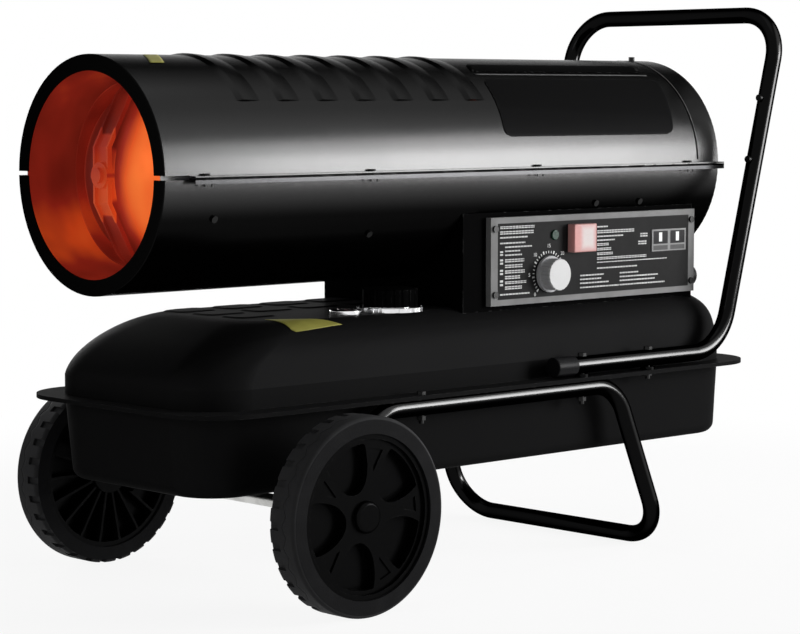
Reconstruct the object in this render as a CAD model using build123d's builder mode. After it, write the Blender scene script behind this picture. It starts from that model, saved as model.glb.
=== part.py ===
from build123d import *
from build123d.topology import SkipClean
import os
from math import cos, radians, sin, sqrt

os.makedirs("parts", exist_ok=True)

# The outlet faces -X, the handle is at +X, the control panel is on the -Y side, +Z is up.
# Setbacks are distances behind the outlet. The origin is on the floor under the middle.
overall_length = 1030.0
front_x = -overall_length / 2
rear_x = overall_length / 2
body_gap = 0.3
running_clearance = 0.05
overrun = 5.0
sheet = 1.5

# Barrel casing in two half shells, joined by screwed lips at axis height
barrel_radius = 138.0
barrel_length = 948.0
barrel_height = 498.5
outlet_radius = 119.0
inlet_radius = 128.0
edge_rounding = 1.0
seam_gap = 0.6
notch_length = 36.0
notch_height = 5.0
lip_width = 10.0
lip_hem = 7.0
seam_screw_setbacks = (57.0, 308.0, 592.0, 882.0)
bead_first_setback = 145.0
bead_pitch = 61.0
bead_count = 7
bead_width = 34.0
bead_height = 2.2
bead_crest_share = 0.25
bead_swell_share = 0.7
bead_half_angle = 52.0
screw_radius = 1.8
screw_clearance = 0.2
screw_head_radius = 4.2
screw_head_height = 2.6
screw_depth = 9.0
clip_width = 12.0
clip_thickness = 2.4
clip_leg_width = 2.0
clip_leg_drop = 3.0
shield_screw_places = ((76.0, 110.0), (324.0, 122.0))
motor_screw_setbacks = (711.0, 796.0)
motor_screw_angle = 110.0
crown_screw_setback = 926.0
barrel_axis = Axis((0, 0, barrel_height), (1, 0, 0))
shell_inner_radius = barrel_radius - sheet

# Hot parts
shield_radius = 126.0
shield_wall = 1.0
shield_start = 4.0
shield_length = 516.0
spacer_size = 14.0
chamber_radius = 108.0
chamber_start = 60.0
chamber_length = 410.0
chamber_cone_length = 30.0
chamber_bracket_size = 12.0
chamber_bracket_setbacks = (110.0, 430.0)
dome_rim_radius = 92.0
dome_start = 24.0
dome_depth = 40.0
dome_thickness = 2.0
strap_width = 28.0
strap_fold = 4.0
strap_fold_width = 3.0
strap_lead = 4.0
strap_flat = 32.0
strap_foot_drop = 12.0
hub_radius = 15.0
hub_height = 12.0
hub_step_radius = 9.0
hub_step_height = 5.0
burner_radius = 44.0
burner_length = 40.0
burner_wall = 2.0
burner_flange_radius = 60.0
swirl_slot_count = 8
swirl_slot_width = 4.0
swirl_slot_length = 14.0
swirl_circle_radius = 29.0
nozzle_radius = 8.0
nozzle_length = 36.0
nozzle_tip_radius = 4.0
nozzle_tip_length = 5.0
electrode_radius = 4.0
electrode_length = 46.0
electrode_wire_radius = 1.2
electrode_wire_length = 9.0
electrode_spread = 12.0
electrode_rise = 14.0
sensor_radius = 7.0
sensor_length = 24.0
sensor_drop = 27.0

# Fan, motor and air pump on one shaft
shaft_radius = 6.0
shaft_start = 606.0
shaft_end = 838.0
fan_radius = 120.0
fan_start = 612.0
fan_hub_radius = 26.0
fan_hub_length = 36.0
fan_blade_count = 5
fan_root_chord = 26.0
fan_tip_chord = 78.0
fan_blade_thickness = 2.5
fan_blade_pitch = 32.0
motor_radius = 46.0
motor_start = 668.0
motor_length = 132.0
motor_end_length = 14.0
motor_step = 3.0
motor_rib_count = 16
motor_rib_width = 3.0
bracket_thickness = 3.0
bracket_start = 697.0
bracket_length = 113.0
cheek_height = 18.0
pump_radius = 38.0
pump_length = 34.0
pump_wall = 6.0
pump_cavity_radius = 24.0
rotor_radius = 20.0
rotor_slot_count = 4
rotor_slot_width = 2.5
rotor_slot_depth = 8.0
cover_radius = 41.0
cover_length = 24.0
cover_boss_radius = 14.0
cover_boss_height = 6.0
air_line_radius = 5.0
air_line_bend = 18.0
air_line_y = 25.0
air_line_height = 347.0
air_line_front = 562.0
fuel_line_radius = 3.5
fuel_line_bend = 20.0
fuel_line_setback = 585.0
fuel_filter_radius = 12.0
fuel_filter_height = 32.0
fuel_filter_floor_gap = 12.0
guard_inset = 8.0
guard_wire = 2.0
guard_thin_wire = 1.3
guard_spoke_wire = 1.6
guard_spoke_setback = 1.8
guard_ring_count = 4
guard_spoke_count = 8
guard_centre_radius = 14.0

# Tank: a lower tray and an upper cover, clamped at a wide flange
flange_height = 233.0
flange_front = 19.0
flange_rear = 990.0
flange_half_width = 186.0
flange_corner = 75.0
flange_hem = 5.0
tank_front = 42.0
tank_rear = 972.0
tank_half_width = 155.0
tank_corner = 68.0
tank_band_height = 258.0
tank_top = 327.0
# The upper tank draws in over four heights, by shares of its pull at nose, tail and sides
tank_rise_shares = (0.30, 0.65, 0.88, 1.0)
tank_nose_pull = 124.0
tank_nose_shares = (0.095, 0.37, 0.66, 1.0)
tank_tail_pull = 52.0
tank_tail_shares = (0.04, 0.19, 0.52, 1.0)
tank_side_pull = 45.0
tank_side_shares = (0.09, 0.245, 0.53, 1.0)
tank_floor = 133.0
tray_front_taper = 9.0
tray_rear_taper = 2.0
tray_side_taper = 10.0
tray_bottom_round = 14.0
filler_setback = 390.0
filler_y = -84.0
neck_radius = 29.0
neck_wall = 2.5
neck_rise = 13.0
neck_depth = 8.0
collar_radius = 41.0
collar_height = 5.0
collar_notch_count = 12
collar_notch_width = 5.0
collar_notch_depth = 2.5
strainer_radius = 24.0
strainer_wall = 1.0
strainer_length = 70.0
strainer_window_count = 6
strainer_window_height = 40.0
strainer_window_width = 12.0
cap_radius = 34.0
cap_height = 22.0
cap_flute_count = 20
cap_flute_radius = 2.6
seal_thickness = 2.0
gauge_setback = 317.0
gauge_y = -84.0
gauge_radius = 19.5
gauge_height = 5.0
gauge_glass = 1.5
gauge_well_radius = 14.0
gauge_well_depth = 10.0
gauge_post_radius = 3.0
gauge_pivot_drop = 30.0
pivot_pin_radius = 2.0
pivot_pin_length = 10.0
float_arm_length = 140.0
float_arm_radius = 1.5
float_hub_half = 1.7
float_radius = 15.0
float_length = 30.0
float_rest_angle = 60.0
needle_length = 11.0
needle_width = 2.0
needle_thickness = 0.8
needle_pin_radius = 1.2
drain_setback = 800.0
drain_radius = 11.0
drain_head_height = 7.0
drain_thread_radius = 7.0

# Control housing between tank and barrel
housing_front = 472.0
housing_rear = 905.0
housing_half_width = 128.0
housing_skirt = 12.0
housing_top_margin = 2.0
panel_front = 512.0
panel_rear = 900.0
panel_bottom = 328.0
panel_top = 438.0
panel_stand = 9.0
panel_face_y = -(housing_half_width + panel_stand)
window_margin = 14.0
panel_screw_inset_x = 7.0
panel_screw_inset_z = 14.0
knob_setback = 616.0
knob_height = 364.0
knob_radius = 20.0
knob_skirt_radius = 23.0
knob_length = 20.0
knob_grip_count = 24
knob_grip_depth = 0.8
knob_stem_radius = 3.0
thermostat_size = 38.0
thermostat_depth = 30.0
knob_gap = 0.6
rocker_setback = 671.0
rocker_height = 408.0
switch_width = 42.0
switch_height = 36.0
switch_bezel = 3.0
switch_depth = 13.0
paddle_width = 26.0
paddle_height = 24.0
paddle_thickness = 7.0
rocker_cover_rise = 12.0
rocker_cover_wall = 1.2
rocker_pin_radius = 1.5
lamp_setback = 626.5
lamp_height = 413.0
lamp_radius = 5.0
lamp_depth = 12.0
lamp_rise = 2.5
display_front = 813.0
display_rear = 881.0
display_bottom = 384.0
display_top = 413.0
display_rise = 1.5
display_depth = 8.0
board_front = 700.0
board_rear = 872.0
board_bottom = 342.0
board_top = 378.0
board_thickness = 1.6
board_standoff = 12.0
board_standoff_radius = 3.0
transformer_front = 640.0
transformer_length = 60.0
transformer_width = 40.0
transformer_bottom = 340.0
transformer_height = 36.0
gland_y = -106.0
gland_height = 346.0
gland_radius = 15.0
gland_length = 24.0
gland_bore = 5.0

# Tube frame, axle and wheels
tube_radius = 11.0
tube_wall = 1.8
spacer_height = 4.2
run_half_width = 176.0
handle_top = 709.0
handle_half_width = 186.0
handle_knee_setback = 909.0
handle_run_start = 586.0
handle_knee_bend = 68.0
handle_top_bend = 60.0
end_cap_radius = 12.6
end_cap_start = 583.0
end_cap_length = 36.0
wrap_bolt_heights = (504.0, 586.0)
wrap_bolt_radius = 2.5
wrap_head_radius = 4.5
wrap_head_height = 4.0
stand_knee_setback = 700.0
stand_foot_setback = 783.0
stand_half_width = 184.0
stand_fork_setback = 290.0
stand_fork_bend = 55.0
stand_knee_bend = 58.0
stand_foot_bend = 55.0
stand_end_past_axle = 16.0
bolt_radius = 3.0
bolt_clearance = 0.3
bolt_head_radius = 5.5
bolt_head_height = 4.0
nut_height = 5.0
bolt_tip = 4.0
front_bolt_setback = 355.0
shared_bolt_setback = 637.0
rear_bolt_setback = 763.0
wheel_radius = 115.2
wheel_setback = 192.0
wheel_inner = 220.5
wheel_outer = 262.4
rim_radius = 95.0
rim_wall = 6.0
rim_inset = 3.0
web_thickness = 15.0
web_inset = 7.0
window_floor = 3.0
wheel_hub_radius = 20.0
spoke_count = 5
spoke_turn = 41
window_inner_radius = 30.0
window_outer_radius = 84.0
window_half_width = 31.0
window_corner = 4.0
spoke_pocket_inner = 52.0
spoke_pocket_outer = 78.0
spoke_pocket_half_width = 9.0
spoke_pocket_depth = 2.0
rim_rib_count = 18
rim_rib_width = 3.0
tread_count = 30
tread_notch = 9.0
tread_depth = 4.0
tread_length = 17.0
tyre_rounding = 5.0
axle_radius = 8.0
collar_thickness = 5.0
axle_collar_radius = 14.0
cap_dome_radius = 18.5
cap_dome_depth = 9.0


def write_piece(builder, name):
    builder.part.label = name
    export_step(builder.part, f"parts/{name}.step")


def radial_plane(setback, angle, radius):
    # A plane whose normal leaves the barrel axis at this angle from the top, near side first
    away = Vector(0, -sin(radians(angle)), cos(radians(angle)))
    foot = Vector(front_x + setback, 0, barrel_height) + away * radius
    return Plane(origin=foot, x_dir=(1, 0, 0), z_dir=away)


def ring_plane(setback):
    return Plane(origin=(front_x + setback, 0, barrel_height), x_dir=(0, -1, 0), z_dir=(1, 0, 0))


def rounded_outline(height, front, rear, half_width, corner):
    # A plan outline of the tank or its flange, as a sketch at this height
    with BuildSketch(Plane.XY.offset(height)) as outline:
        with Locations((front_x + (front + rear) / 2, 0)):
            RectangleRounded(rear - front, 2 * half_width, corner)
    return outline.sketch


def upper_tank_form(inset, top):
    # The outside of the upper tank drawn in by inset, or grown where inset is negative
    front = tank_front + inset
    rear = tank_rear - inset
    half_width = tank_half_width - inset
    corner = tank_corner - inset
    with BuildPart() as form:
        add(rounded_outline(flange_height, front, rear, half_width, corner))
        extrude(amount=tank_band_height - flange_height)
        sections = [rounded_outline(tank_band_height, front, rear, half_width, corner)]
        for rise, nose, tail, side in zip(
            tank_rise_shares, tank_nose_shares, tank_tail_shares, tank_side_shares
        ):
            sections.append(
                rounded_outline(
                    tank_band_height + (top - tank_band_height) * rise,
                    front + tank_nose_pull * nose,
                    rear - tank_tail_pull * tail,
                    half_width - tank_side_pull * side,
                    corner,
                )
            )
        loft(sections)
    return form.part


def lower_tank_form(inset, floor):
    with BuildPart() as form:
        front = tank_front + inset
        rear = tank_rear - inset
        half_width = tank_half_width - inset
        corner = tank_corner - inset
        loft(
            [
                rounded_outline(
                    floor,
                    front + tray_front_taper,
                    rear - tray_rear_taper,
                    half_width - tray_side_taper,
                    corner - tray_side_taper,
                ),
                rounded_outline(flange_height, front, rear, half_width, corner),
            ]
        )
        fillet(form.faces().sort_by(Axis.Z)[0].edges(), tray_bottom_round - inset)
    return form.part


def tube_along(points, bends):
    # A bent tube whose section starts square to its first run
    with BuildPart() as tube:
        with BuildLine() as route:
            FilletPolyline(*points, radius=bends)
        with BuildSketch(Plane(origin=route.line @ 0, z_dir=route.line % 0)):
            Circle(tube_radius)
            Circle(tube_radius - tube_wall, mode=Mode.SUBTRACT)
        sweep()
    return tube.part


def rod_along(points, bends, radius):
    with BuildPart() as rod:
        with BuildLine() as route:
            FilletPolyline(*points, radius=bends)
        with BuildSketch(Plane(origin=route.line @ 0, z_dir=route.line % 0)):
            Circle(radius)
        sweep()
    return rod.part


# Holes that other pieces pass through are made from the same values as those pieces
seam_screw_y = barrel_radius + (lip_width - sheet) / 2
air_line_rear = motor_start + motor_length + pump_length / 2
air_line_hole = air_line_radius + body_gap
fuel_line_hole = fuel_line_radius + body_gap

def shell_section(angle, beads):
    # Section of the casing sheet, this many degrees from the crown: inward flanges and pressed beads
    plane = Plane(
        origin=(0, 0, barrel_height), x_dir=(1, 0, 0), z_dir=(0, -cos(radians(angle)), -sin(radians(angle)))
    )
    with BuildSketch(plane) as section:
        with BuildLine():
            for inset in (0, sheet):
                radius = barrel_radius - inset
                edge = front_x + inset
                for bead in range(beads):
                    bead_x = front_x + bead_first_setback + bead * bead_pitch - bead_width / 2
                    crest = (bead_x + bead_crest_share * bead_width, radius + bead_height)
                    Polyline((edge, radius), (bead_x, radius), crest)
                    edge = bead_x + bead_width
                    swell = ((crest[0] + edge) / 2, radius + bead_swell_share * bead_height)
                    ThreePointArc(crest, swell, (edge, radius))
                Line((edge, radius), (front_x + barrel_length - inset, radius))
            Polyline(
                (front_x, barrel_radius),
                (front_x, outlet_radius),
                (front_x + sheet, outlet_radius),
                (front_x + sheet, shell_inner_radius),
            )
            Polyline(
                (front_x + barrel_length, barrel_radius),
                (front_x + barrel_length, inlet_radius),
                (front_x + barrel_length - sheet, inlet_radius),
                (front_x + barrel_length - sheet, shell_inner_radius),
            )
        make_face()
        ends = section.vertices().group_by(Axis.X)
        fillet((ends[0].sort_by(Axis.Y)[-1], ends[-1].sort_by(Axis.Y)[-1]), edge_rounding)
    return section.sketch


# Upper shell: two plain sides with lips, then the crown between them with its pressed beads
with BuildPart() as upper_shell:
    for angle in (-90, bead_half_angle):
        revolve(shell_section(angle, 0), axis=barrel_axis, revolution_arc=90 - bead_half_angle)
    split(bisect_by=Plane.XY.offset(barrel_height + seam_gap / 2), keep=Keep.TOP)
    lip_length = barrel_length - notch_length
    lip_reach = lip_width + sheet / 2
    for side in (-1, 1):
        with Locations(
            (
                front_x + notch_length + lip_length / 2,
                side * (barrel_radius + lip_width - lip_reach / 2),
                barrel_height + seam_gap / 2 + sheet / 2,
            )
        ):
            Box(lip_length, lip_reach, sheet)
        with Locations((front_x + notch_length / 2, side * barrel_radius, barrel_height)):
            Box(notch_length, 4 * lip_width, notch_height, mode=Mode.SUBTRACT)
        for setback in seam_screw_setbacks:
            with Locations((front_x + setback, side * seam_screw_y, barrel_height)):
                Cylinder(screw_radius + screw_clearance, 4 * lip_hem, mode=Mode.SUBTRACT)
    # The seams between crown and sides stay, so that each face is a simple patch
    with SkipClean():
        revolve(
            shell_section(-bead_half_angle, bead_count),
            axis=barrel_axis,
            revolution_arc=2 * bead_half_angle,
            clean=False,
        )
        with BuildSketch(radial_plane(crown_screw_setback, 0, barrel_radius + overrun)):
            Circle(screw_radius + screw_clearance)
        extrude(amount=-(2 * overrun + sheet), clean=False, mode=Mode.SUBTRACT)
write_piece(upper_shell, "upper_shell")

# Lower shell: the same half tube below, with hemmed lips and holes for screws, hoses and housing
with BuildPart() as lower_shell:
    revolve(shell_section(90, 0), axis=barrel_axis, revolution_arc=180)
    split(bisect_by=Plane.XY.offset(barrel_height - seam_gap / 2), keep=Keep.BOTTOM)
    for side in (-1, 1):
        with Locations(
            (
                front_x + notch_length + lip_length / 2,
                side * (barrel_radius + lip_width - lip_reach / 2),
                barrel_height - seam_gap / 2 - sheet / 2,
            )
        ):
            Box(lip_length, lip_reach, sheet)
        with Locations(
            (
                front_x + notch_length + lip_length / 2,
                side * (barrel_radius + lip_width - sheet / 2),
                barrel_height - seam_gap / 2 - lip_hem / 2,
            )
        ):
            Box(lip_length, sheet, lip_hem)
        with Locations((front_x + notch_length / 2, side * barrel_radius, barrel_height)):
            Box(notch_length, 4 * lip_width, notch_height, mode=Mode.SUBTRACT)
        for setback in seam_screw_setbacks:
            with Locations((front_x + setback, side * seam_screw_y, barrel_height)):
                Cylinder(screw_radius + screw_clearance, 4 * lip_hem, mode=Mode.SUBTRACT)
        for setback, angle in shield_screw_places:
            with BuildSketch(radial_plane(setback, side * angle, barrel_radius + overrun)):
                Circle(screw_radius + screw_clearance)
            extrude(amount=-(2 * overrun + sheet), mode=Mode.SUBTRACT)
        for setback in motor_screw_setbacks:
            with BuildSketch(radial_plane(setback, side * motor_screw_angle, barrel_radius + overrun)):
                Circle(screw_radius + screw_clearance)
            extrude(amount=-(2 * overrun + sheet), mode=Mode.SUBTRACT)
    with BuildSketch(Plane.XY.offset(barrel_height - barrel_radius - overrun)):
        with Locations((front_x + fuel_line_setback, 0)):
            Circle(fuel_line_hole)
        for setback in (air_line_front, air_line_rear):
            with Locations((front_x + setback, air_line_y)):
                Circle(air_line_hole)
    extrude(amount=barrel_radius / 2, mode=Mode.SUBTRACT)
write_piece(lower_shell, "lower_shell")

# Casing screws: seam screws, radial screws of shield and motor, panel screws
panel_screw_places = [
    (front_x + setback, height)
    for setback in (panel_front + panel_screw_inset_x, panel_rear - panel_screw_inset_x)
    for height in (panel_bottom + panel_screw_inset_z, panel_top - panel_screw_inset_z)
]
with BuildPart() as casing_screws:
    seam_top = barrel_height + seam_gap / 2 + sheet
    for side in (-1, 1):
        for setback in seam_screw_setbacks:
            with BuildSketch(Plane.XY.offset(seam_top)):
                with Locations((front_x + setback, side * seam_screw_y)):
                    Circle(screw_head_radius - seam_gap)
            extrude(amount=screw_head_height)
            with BuildSketch(Plane.XY.offset(seam_top)):
                with Locations((front_x + setback, side * seam_screw_y)):
                    Circle(screw_radius)
            extrude(amount=-screw_depth)
        places = list(shield_screw_places)
        places += [(setback, motor_screw_angle) for setback in motor_screw_setbacks]
        for setback, angle in places:
            with BuildSketch(radial_plane(setback, side * angle, barrel_radius)):
                Circle(screw_head_radius)
            extrude(amount=screw_head_height)
            with BuildSketch(radial_plane(setback, side * angle, barrel_radius)):
                Circle(screw_radius)
            extrude(amount=-screw_depth)
    with BuildSketch(radial_plane(crown_screw_setback, 0, barrel_radius)):
        Circle(screw_head_radius)
    extrude(amount=2 * screw_head_height)
    with BuildSketch(radial_plane(crown_screw_setback, 0, barrel_radius)):
        Circle(screw_radius)
    extrude(amount=-screw_depth)
    for screw_x, screw_z in panel_screw_places:
        with BuildSketch(Plane.XZ.offset(-panel_face_y)):
            with Locations((screw_x, screw_z)):
                Circle(screw_head_radius)
        extrude(amount=screw_head_height)
        with BuildSketch(Plane.XZ.offset(-panel_face_y)):
            with Locations((screw_x, screw_z)):
                Circle(screw_radius)
        extrude(amount=-(panel_stand + sheet + overrun))
write_piece(casing_screws, "casing_screws")

# Seam clips: nut plates under the lower lip, each with two legs below the hem
with BuildPart() as seam_clips:
    clip_top = barrel_height - seam_gap / 2 - sheet
    clip_reach = lip_width - 2 * sheet - body_gap
    for side in (-1, 1):
        for setback in seam_screw_setbacks:
            clip_y = side * (barrel_radius + sheet + clip_reach / 2)
            with Locations((front_x + setback, clip_y, clip_top - clip_thickness / 2)):
                Box(clip_width, clip_reach, clip_thickness)
            leg_height = lip_hem + clip_leg_drop - sheet
            for leg in (-1, 1):
                leg_x = front_x + setback + leg * (clip_width - clip_leg_width) / 2
                leg_y = side * (barrel_radius + lip_width - sheet - body_gap - clip_leg_width / 2)
                with Locations((leg_x, leg_y, clip_top - leg_height / 2)):
                    Box(clip_leg_width, clip_leg_width, leg_height)
            with Locations((front_x + setback, side * seam_screw_y, clip_top)):
                Cylinder(screw_radius + screw_clearance, 4 * clip_thickness, mode=Mode.SUBTRACT)
write_piece(seam_clips, "seam_clips")

# Heat shield: a thin liner that starts just behind the outlet
with BuildPart() as heat_shield:
    with BuildSketch(ring_plane(shield_start)):
        Circle(shield_radius)
        Circle(shield_radius - shield_wall, mode=Mode.SUBTRACT)
    extrude(amount=shield_length)
write_piece(heat_shield, "heat_shield")

# Standoffs that hold the shield in the shell, and brackets that hold the chamber in the shield
with BuildPart() as chamber_brackets:
    spacer_depth = shell_inner_radius - shield_radius - 2 * body_gap
    for side in (-1, 1):
        for setback, angle in shield_screw_places:
            with BuildSketch(radial_plane(setback, side * angle, shield_radius + body_gap)):
                Rectangle(spacer_size, spacer_size)
                Circle(screw_radius + screw_clearance, mode=Mode.SUBTRACT)
            extrude(amount=spacer_depth)
    bracket_depth = shield_radius - shield_wall - chamber_radius - 2 * body_gap
    for setback in chamber_bracket_setbacks:
        for quarter in range(4):
            with BuildSketch(radial_plane(setback, 45 + 90 * quarter, chamber_radius + body_gap)):
                Rectangle(chamber_bracket_size, chamber_bracket_size)
            extrude(amount=bracket_depth)
write_piece(chamber_brackets, "chamber_brackets")

# Combustion chamber: a drum whose rear cone narrows to the burner head
chamber_end = chamber_start + chamber_length
cone_end = chamber_end + chamber_cone_length
with BuildPart() as combustion_chamber:
    with BuildSketch(Plane.XZ):
        with BuildLine():
            Polyline(
                (front_x + chamber_start, barrel_height + chamber_radius),
                (front_x + chamber_end, barrel_height + chamber_radius),
                (front_x + cone_end, barrel_height + burner_flange_radius),
                (front_x + cone_end, barrel_height + burner_radius + body_gap),
                (front_x + cone_end - sheet, barrel_height + burner_radius + body_gap),
                (front_x + cone_end - sheet, barrel_height + burner_flange_radius - sheet),
                (front_x + chamber_end - sheet, barrel_height + chamber_radius - sheet),
                (front_x + chamber_start, barrel_height + chamber_radius - sheet),
                close=True,
            )
        make_face()
    revolve(axis=barrel_axis)
write_piece(combustion_chamber, "combustion_chamber")

# Flame baffle: a dome towards the outlet, carried by an upright strap with folded edges
dome_end = dome_start + dome_depth
strap_end_radius = chamber_radius - sheet - body_gap
strap_upper_corners = [
    (dome_start - strap_lead, strap_flat),
    (dome_end - strap_foot_drop, dome_rim_radius),
    (dome_end + strap_lead, chamber_radius),
]
strap_corners = [(setback, -rise) for setback, rise in reversed(strap_upper_corners)]
strap_corners += strap_upper_corners
with BuildPart() as flame_baffle:
    with BuildSketch(Plane.XZ):
        with BuildLine():
            dome_front = SagittaArc(
                (front_x + dome_end, barrel_height - dome_rim_radius),
                (front_x + dome_end, barrel_height + dome_rim_radius),
                dome_depth,
            )
            dome_back = SagittaArc(
                (front_x + dome_end + dome_thickness, barrel_height - dome_rim_radius),
                (front_x + dome_end + dome_thickness, barrel_height + dome_rim_radius),
                dome_depth,
            )
            Line(dome_front @ 0, dome_back @ 0)
            Line(dome_front @ 1, dome_back @ 1)
        make_face()
        with Locations((front_x + dome_start, barrel_height - dome_rim_radius)):
            Rectangle(
                4 * dome_depth, dome_rim_radius, align=(Align.CENTER, Align.MIN), mode=Mode.SUBTRACT
            )
    revolve(axis=barrel_axis)
    for side, lift in ((0, 0), (-1, strap_fold), (1, strap_fold)):
        band = strap_fold_width / 2 if lift else strap_width / 2
        strap_front = [
            (front_x + setback - lift, barrel_height + rise) for setback, rise in strap_corners
        ]
        strap_back = [
            (front_x + setback + dome_thickness, barrel_height + rise) for setback, rise in strap_corners
        ]
        with BuildSketch(Plane.XZ.offset(side * (strap_width / 2 - band))):
            with BuildLine():
                Polyline(*strap_front, *reversed(strap_back), close=True)
            make_face()
        extrude(amount=band, both=True)
    with BuildSketch(ring_plane(dome_start - dome_depth)):
        Circle(strap_end_radius)
    extrude(amount=4 * dome_depth, mode=Mode.INTERSECT)
    with BuildSketch(ring_plane(dome_start + dome_thickness)):
        Circle(hub_radius)
    extrude(amount=-hub_height)
    with BuildSketch(ring_plane(dome_start + dome_thickness - hub_height)):
        Circle(hub_step_radius)
    extrude(amount=-hub_step_height)
write_piece(flame_baffle, "flame_baffle")

# Burner head: a cup through the chamber's rear, with swirl slots, nozzle, electrodes and sensor
burner_back = cone_end + burner_length
nozzle_place = (0, 0)
electrode_places = [(-electrode_spread, electrode_rise), (electrode_spread, electrode_rise)]
sensor_place = (0, -sensor_drop)
with BuildPart() as burner_head:
    with BuildSketch(ring_plane(cone_end)):
        Circle(burner_flange_radius)
        Circle(burner_radius - burner_wall, mode=Mode.SUBTRACT)
    extrude(amount=burner_wall)
    with BuildSketch(ring_plane(cone_end - burner_wall)):
        Circle(burner_radius)
        Circle(burner_radius - burner_wall, mode=Mode.SUBTRACT)
    extrude(amount=burner_length + burner_wall)
    with BuildSketch(ring_plane(cone_end - burner_wall)):
        Circle(burner_radius)
        Circle(nozzle_radius + 2 * burner_wall, mode=Mode.SUBTRACT)
        with PolarLocations(swirl_circle_radius, swirl_slot_count):
            SlotOverall(swirl_slot_length, swirl_slot_width, mode=Mode.SUBTRACT)
        for place in electrode_places:
            with Locations(place):
                Circle(electrode_radius + body_gap, mode=Mode.SUBTRACT)
    extrude(amount=burner_wall)
    with BuildSketch(ring_plane(burner_back)):
        Circle(burner_radius)
        with Locations(nozzle_place):
            Circle(nozzle_radius + body_gap, mode=Mode.SUBTRACT)
        for place in electrode_places:
            with Locations(place):
                Circle(electrode_radius + body_gap, mode=Mode.SUBTRACT)
    extrude(amount=burner_wall)
write_piece(burner_head, "burner_head")

nozzle_start = burner_back + burner_wall + nozzle_radius - nozzle_length
with BuildPart() as spray_nozzle:
    with BuildSketch(ring_plane(nozzle_start)):
        RegularPolygon(nozzle_radius, 6)
    extrude(amount=nozzle_length)
    with BuildSketch(ring_plane(nozzle_start)):
        Circle(nozzle_tip_radius)
    extrude(amount=-nozzle_tip_length)
write_piece(spray_nozzle, "spray_nozzle")

electrode_start = burner_back + burner_wall + nozzle_radius - electrode_length
with BuildPart() as igniter:
    for place in electrode_places:
        with BuildSketch(ring_plane(electrode_start)):
            with Locations(place):
                Circle(electrode_radius)
        extrude(amount=electrode_length)
        with BuildSketch(ring_plane(electrode_start)):
            with Locations(place):
                Circle(electrode_wire_radius)
        extrude(amount=-electrode_wire_length)
write_piece(igniter, "igniter")

with BuildPart() as flame_sensor:
    with BuildSketch(ring_plane(burner_back + burner_wall)):
        with Locations(sensor_place):
            Circle(sensor_radius)
    extrude(amount=sensor_length)
write_piece(flame_sensor, "flame_sensor")

# Fan: hub and pitched blades, cut to its own radius
with BuildPart() as fan:
    for blade in range(fan_blade_count):
        root = radial_plane(fan_start + fan_hub_length / 2, 360 / fan_blade_count * blade, 0)
        tilt = Vector(1, 0, 0).rotate(Axis((0, 0, 0), root.z_dir), fan_blade_pitch)
        with BuildSketch(Plane(origin=root.origin, x_dir=root.z_dir, z_dir=tilt)):
            with BuildLine():
                Polyline(
                    (fan_hub_radius - overrun, -fan_root_chord / 2),
                    (fan_radius + overrun, -fan_tip_chord / 2),
                    (fan_radius + overrun, fan_tip_chord / 2),
                    (fan_hub_radius - overrun, fan_root_chord / 2),
                    close=True,
                )
            make_face()
        extrude(amount=fan_blade_thickness / 2, both=True)
    with BuildSketch(ring_plane(fan_start - fan_tip_chord)):
        Circle(fan_radius)
    extrude(amount=3 * fan_tip_chord, mode=Mode.INTERSECT)
    with BuildSketch(ring_plane(fan_start)):
        Circle(fan_hub_radius)
    extrude(amount=fan_hub_length)
    with BuildSketch(ring_plane(fan_start - overrun)):
        Circle(shaft_radius + running_clearance)
    extrude(amount=fan_hub_length + 2 * overrun, mode=Mode.SUBTRACT)
write_piece(fan, "fan")

with BuildPart() as motor_shaft:
    with BuildSketch(ring_plane(shaft_start)):
        Circle(shaft_radius)
    extrude(amount=shaft_end - shaft_start)
write_piece(motor_shaft, "motor_shaft")

motor_end = motor_start + motor_length
with BuildPart() as motor_case:
    with BuildSketch(ring_plane(motor_start)):
        Circle(motor_radius - motor_step)
    extrude(amount=motor_length)
    with BuildSketch(ring_plane(motor_start + motor_end_length)):
        Circle(motor_radius)
    extrude(amount=motor_length - 2 * motor_end_length)
    with BuildSketch(ring_plane(motor_start)):
        with PolarLocations(motor_radius - 3 * motor_step, motor_rib_count):
            Rectangle(4 * motor_step, motor_rib_width)
        Circle(motor_radius - 5 * motor_step, mode=Mode.SUBTRACT)
    extrude(amount=motor_end_length)
    with BuildSketch(ring_plane(motor_start - overrun)):
        Circle(shaft_radius + running_clearance)
    extrude(amount=motor_length + 2 * overrun, mode=Mode.SUBTRACT)
write_piece(motor_case, "motor_case")

# Motor bracket: a plate across the shell, with cheeks beside the motor and screwed end blocks
bracket_top = barrel_height - motor_radius - body_gap
bracket_y = sqrt((shell_inner_radius - body_gap) ** 2 - (motor_radius + body_gap + bracket_thickness) ** 2)
with BuildPart() as motor_bracket:
    with Locations((front_x + bracket_start + bracket_length / 2, 0, bracket_top - bracket_thickness / 2)):
        Box(bracket_length, 2 * bracket_y, bracket_thickness)
    for side in (-1, 1):
        cheek_y = side * (motor_radius + body_gap + bracket_thickness / 2)
        with Locations(
            (front_x + bracket_start + bracket_length / 2, cheek_y, bracket_top + cheek_height / 2)
        ):
            Box(bracket_length, bracket_thickness, cheek_height)
        for setback in motor_screw_setbacks:
            block = radial_plane(setback, side * motor_screw_angle, shell_inner_radius - body_gap)
            with BuildSketch(block):
                Rectangle(spacer_size, spacer_size)
            extrude(amount=-screw_depth)
            with BuildSketch(block):
                Circle(screw_radius + screw_clearance)
            extrude(amount=-(screw_depth + overrun), mode=Mode.SUBTRACT)
write_piece(motor_bracket, "motor_bracket")

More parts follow.
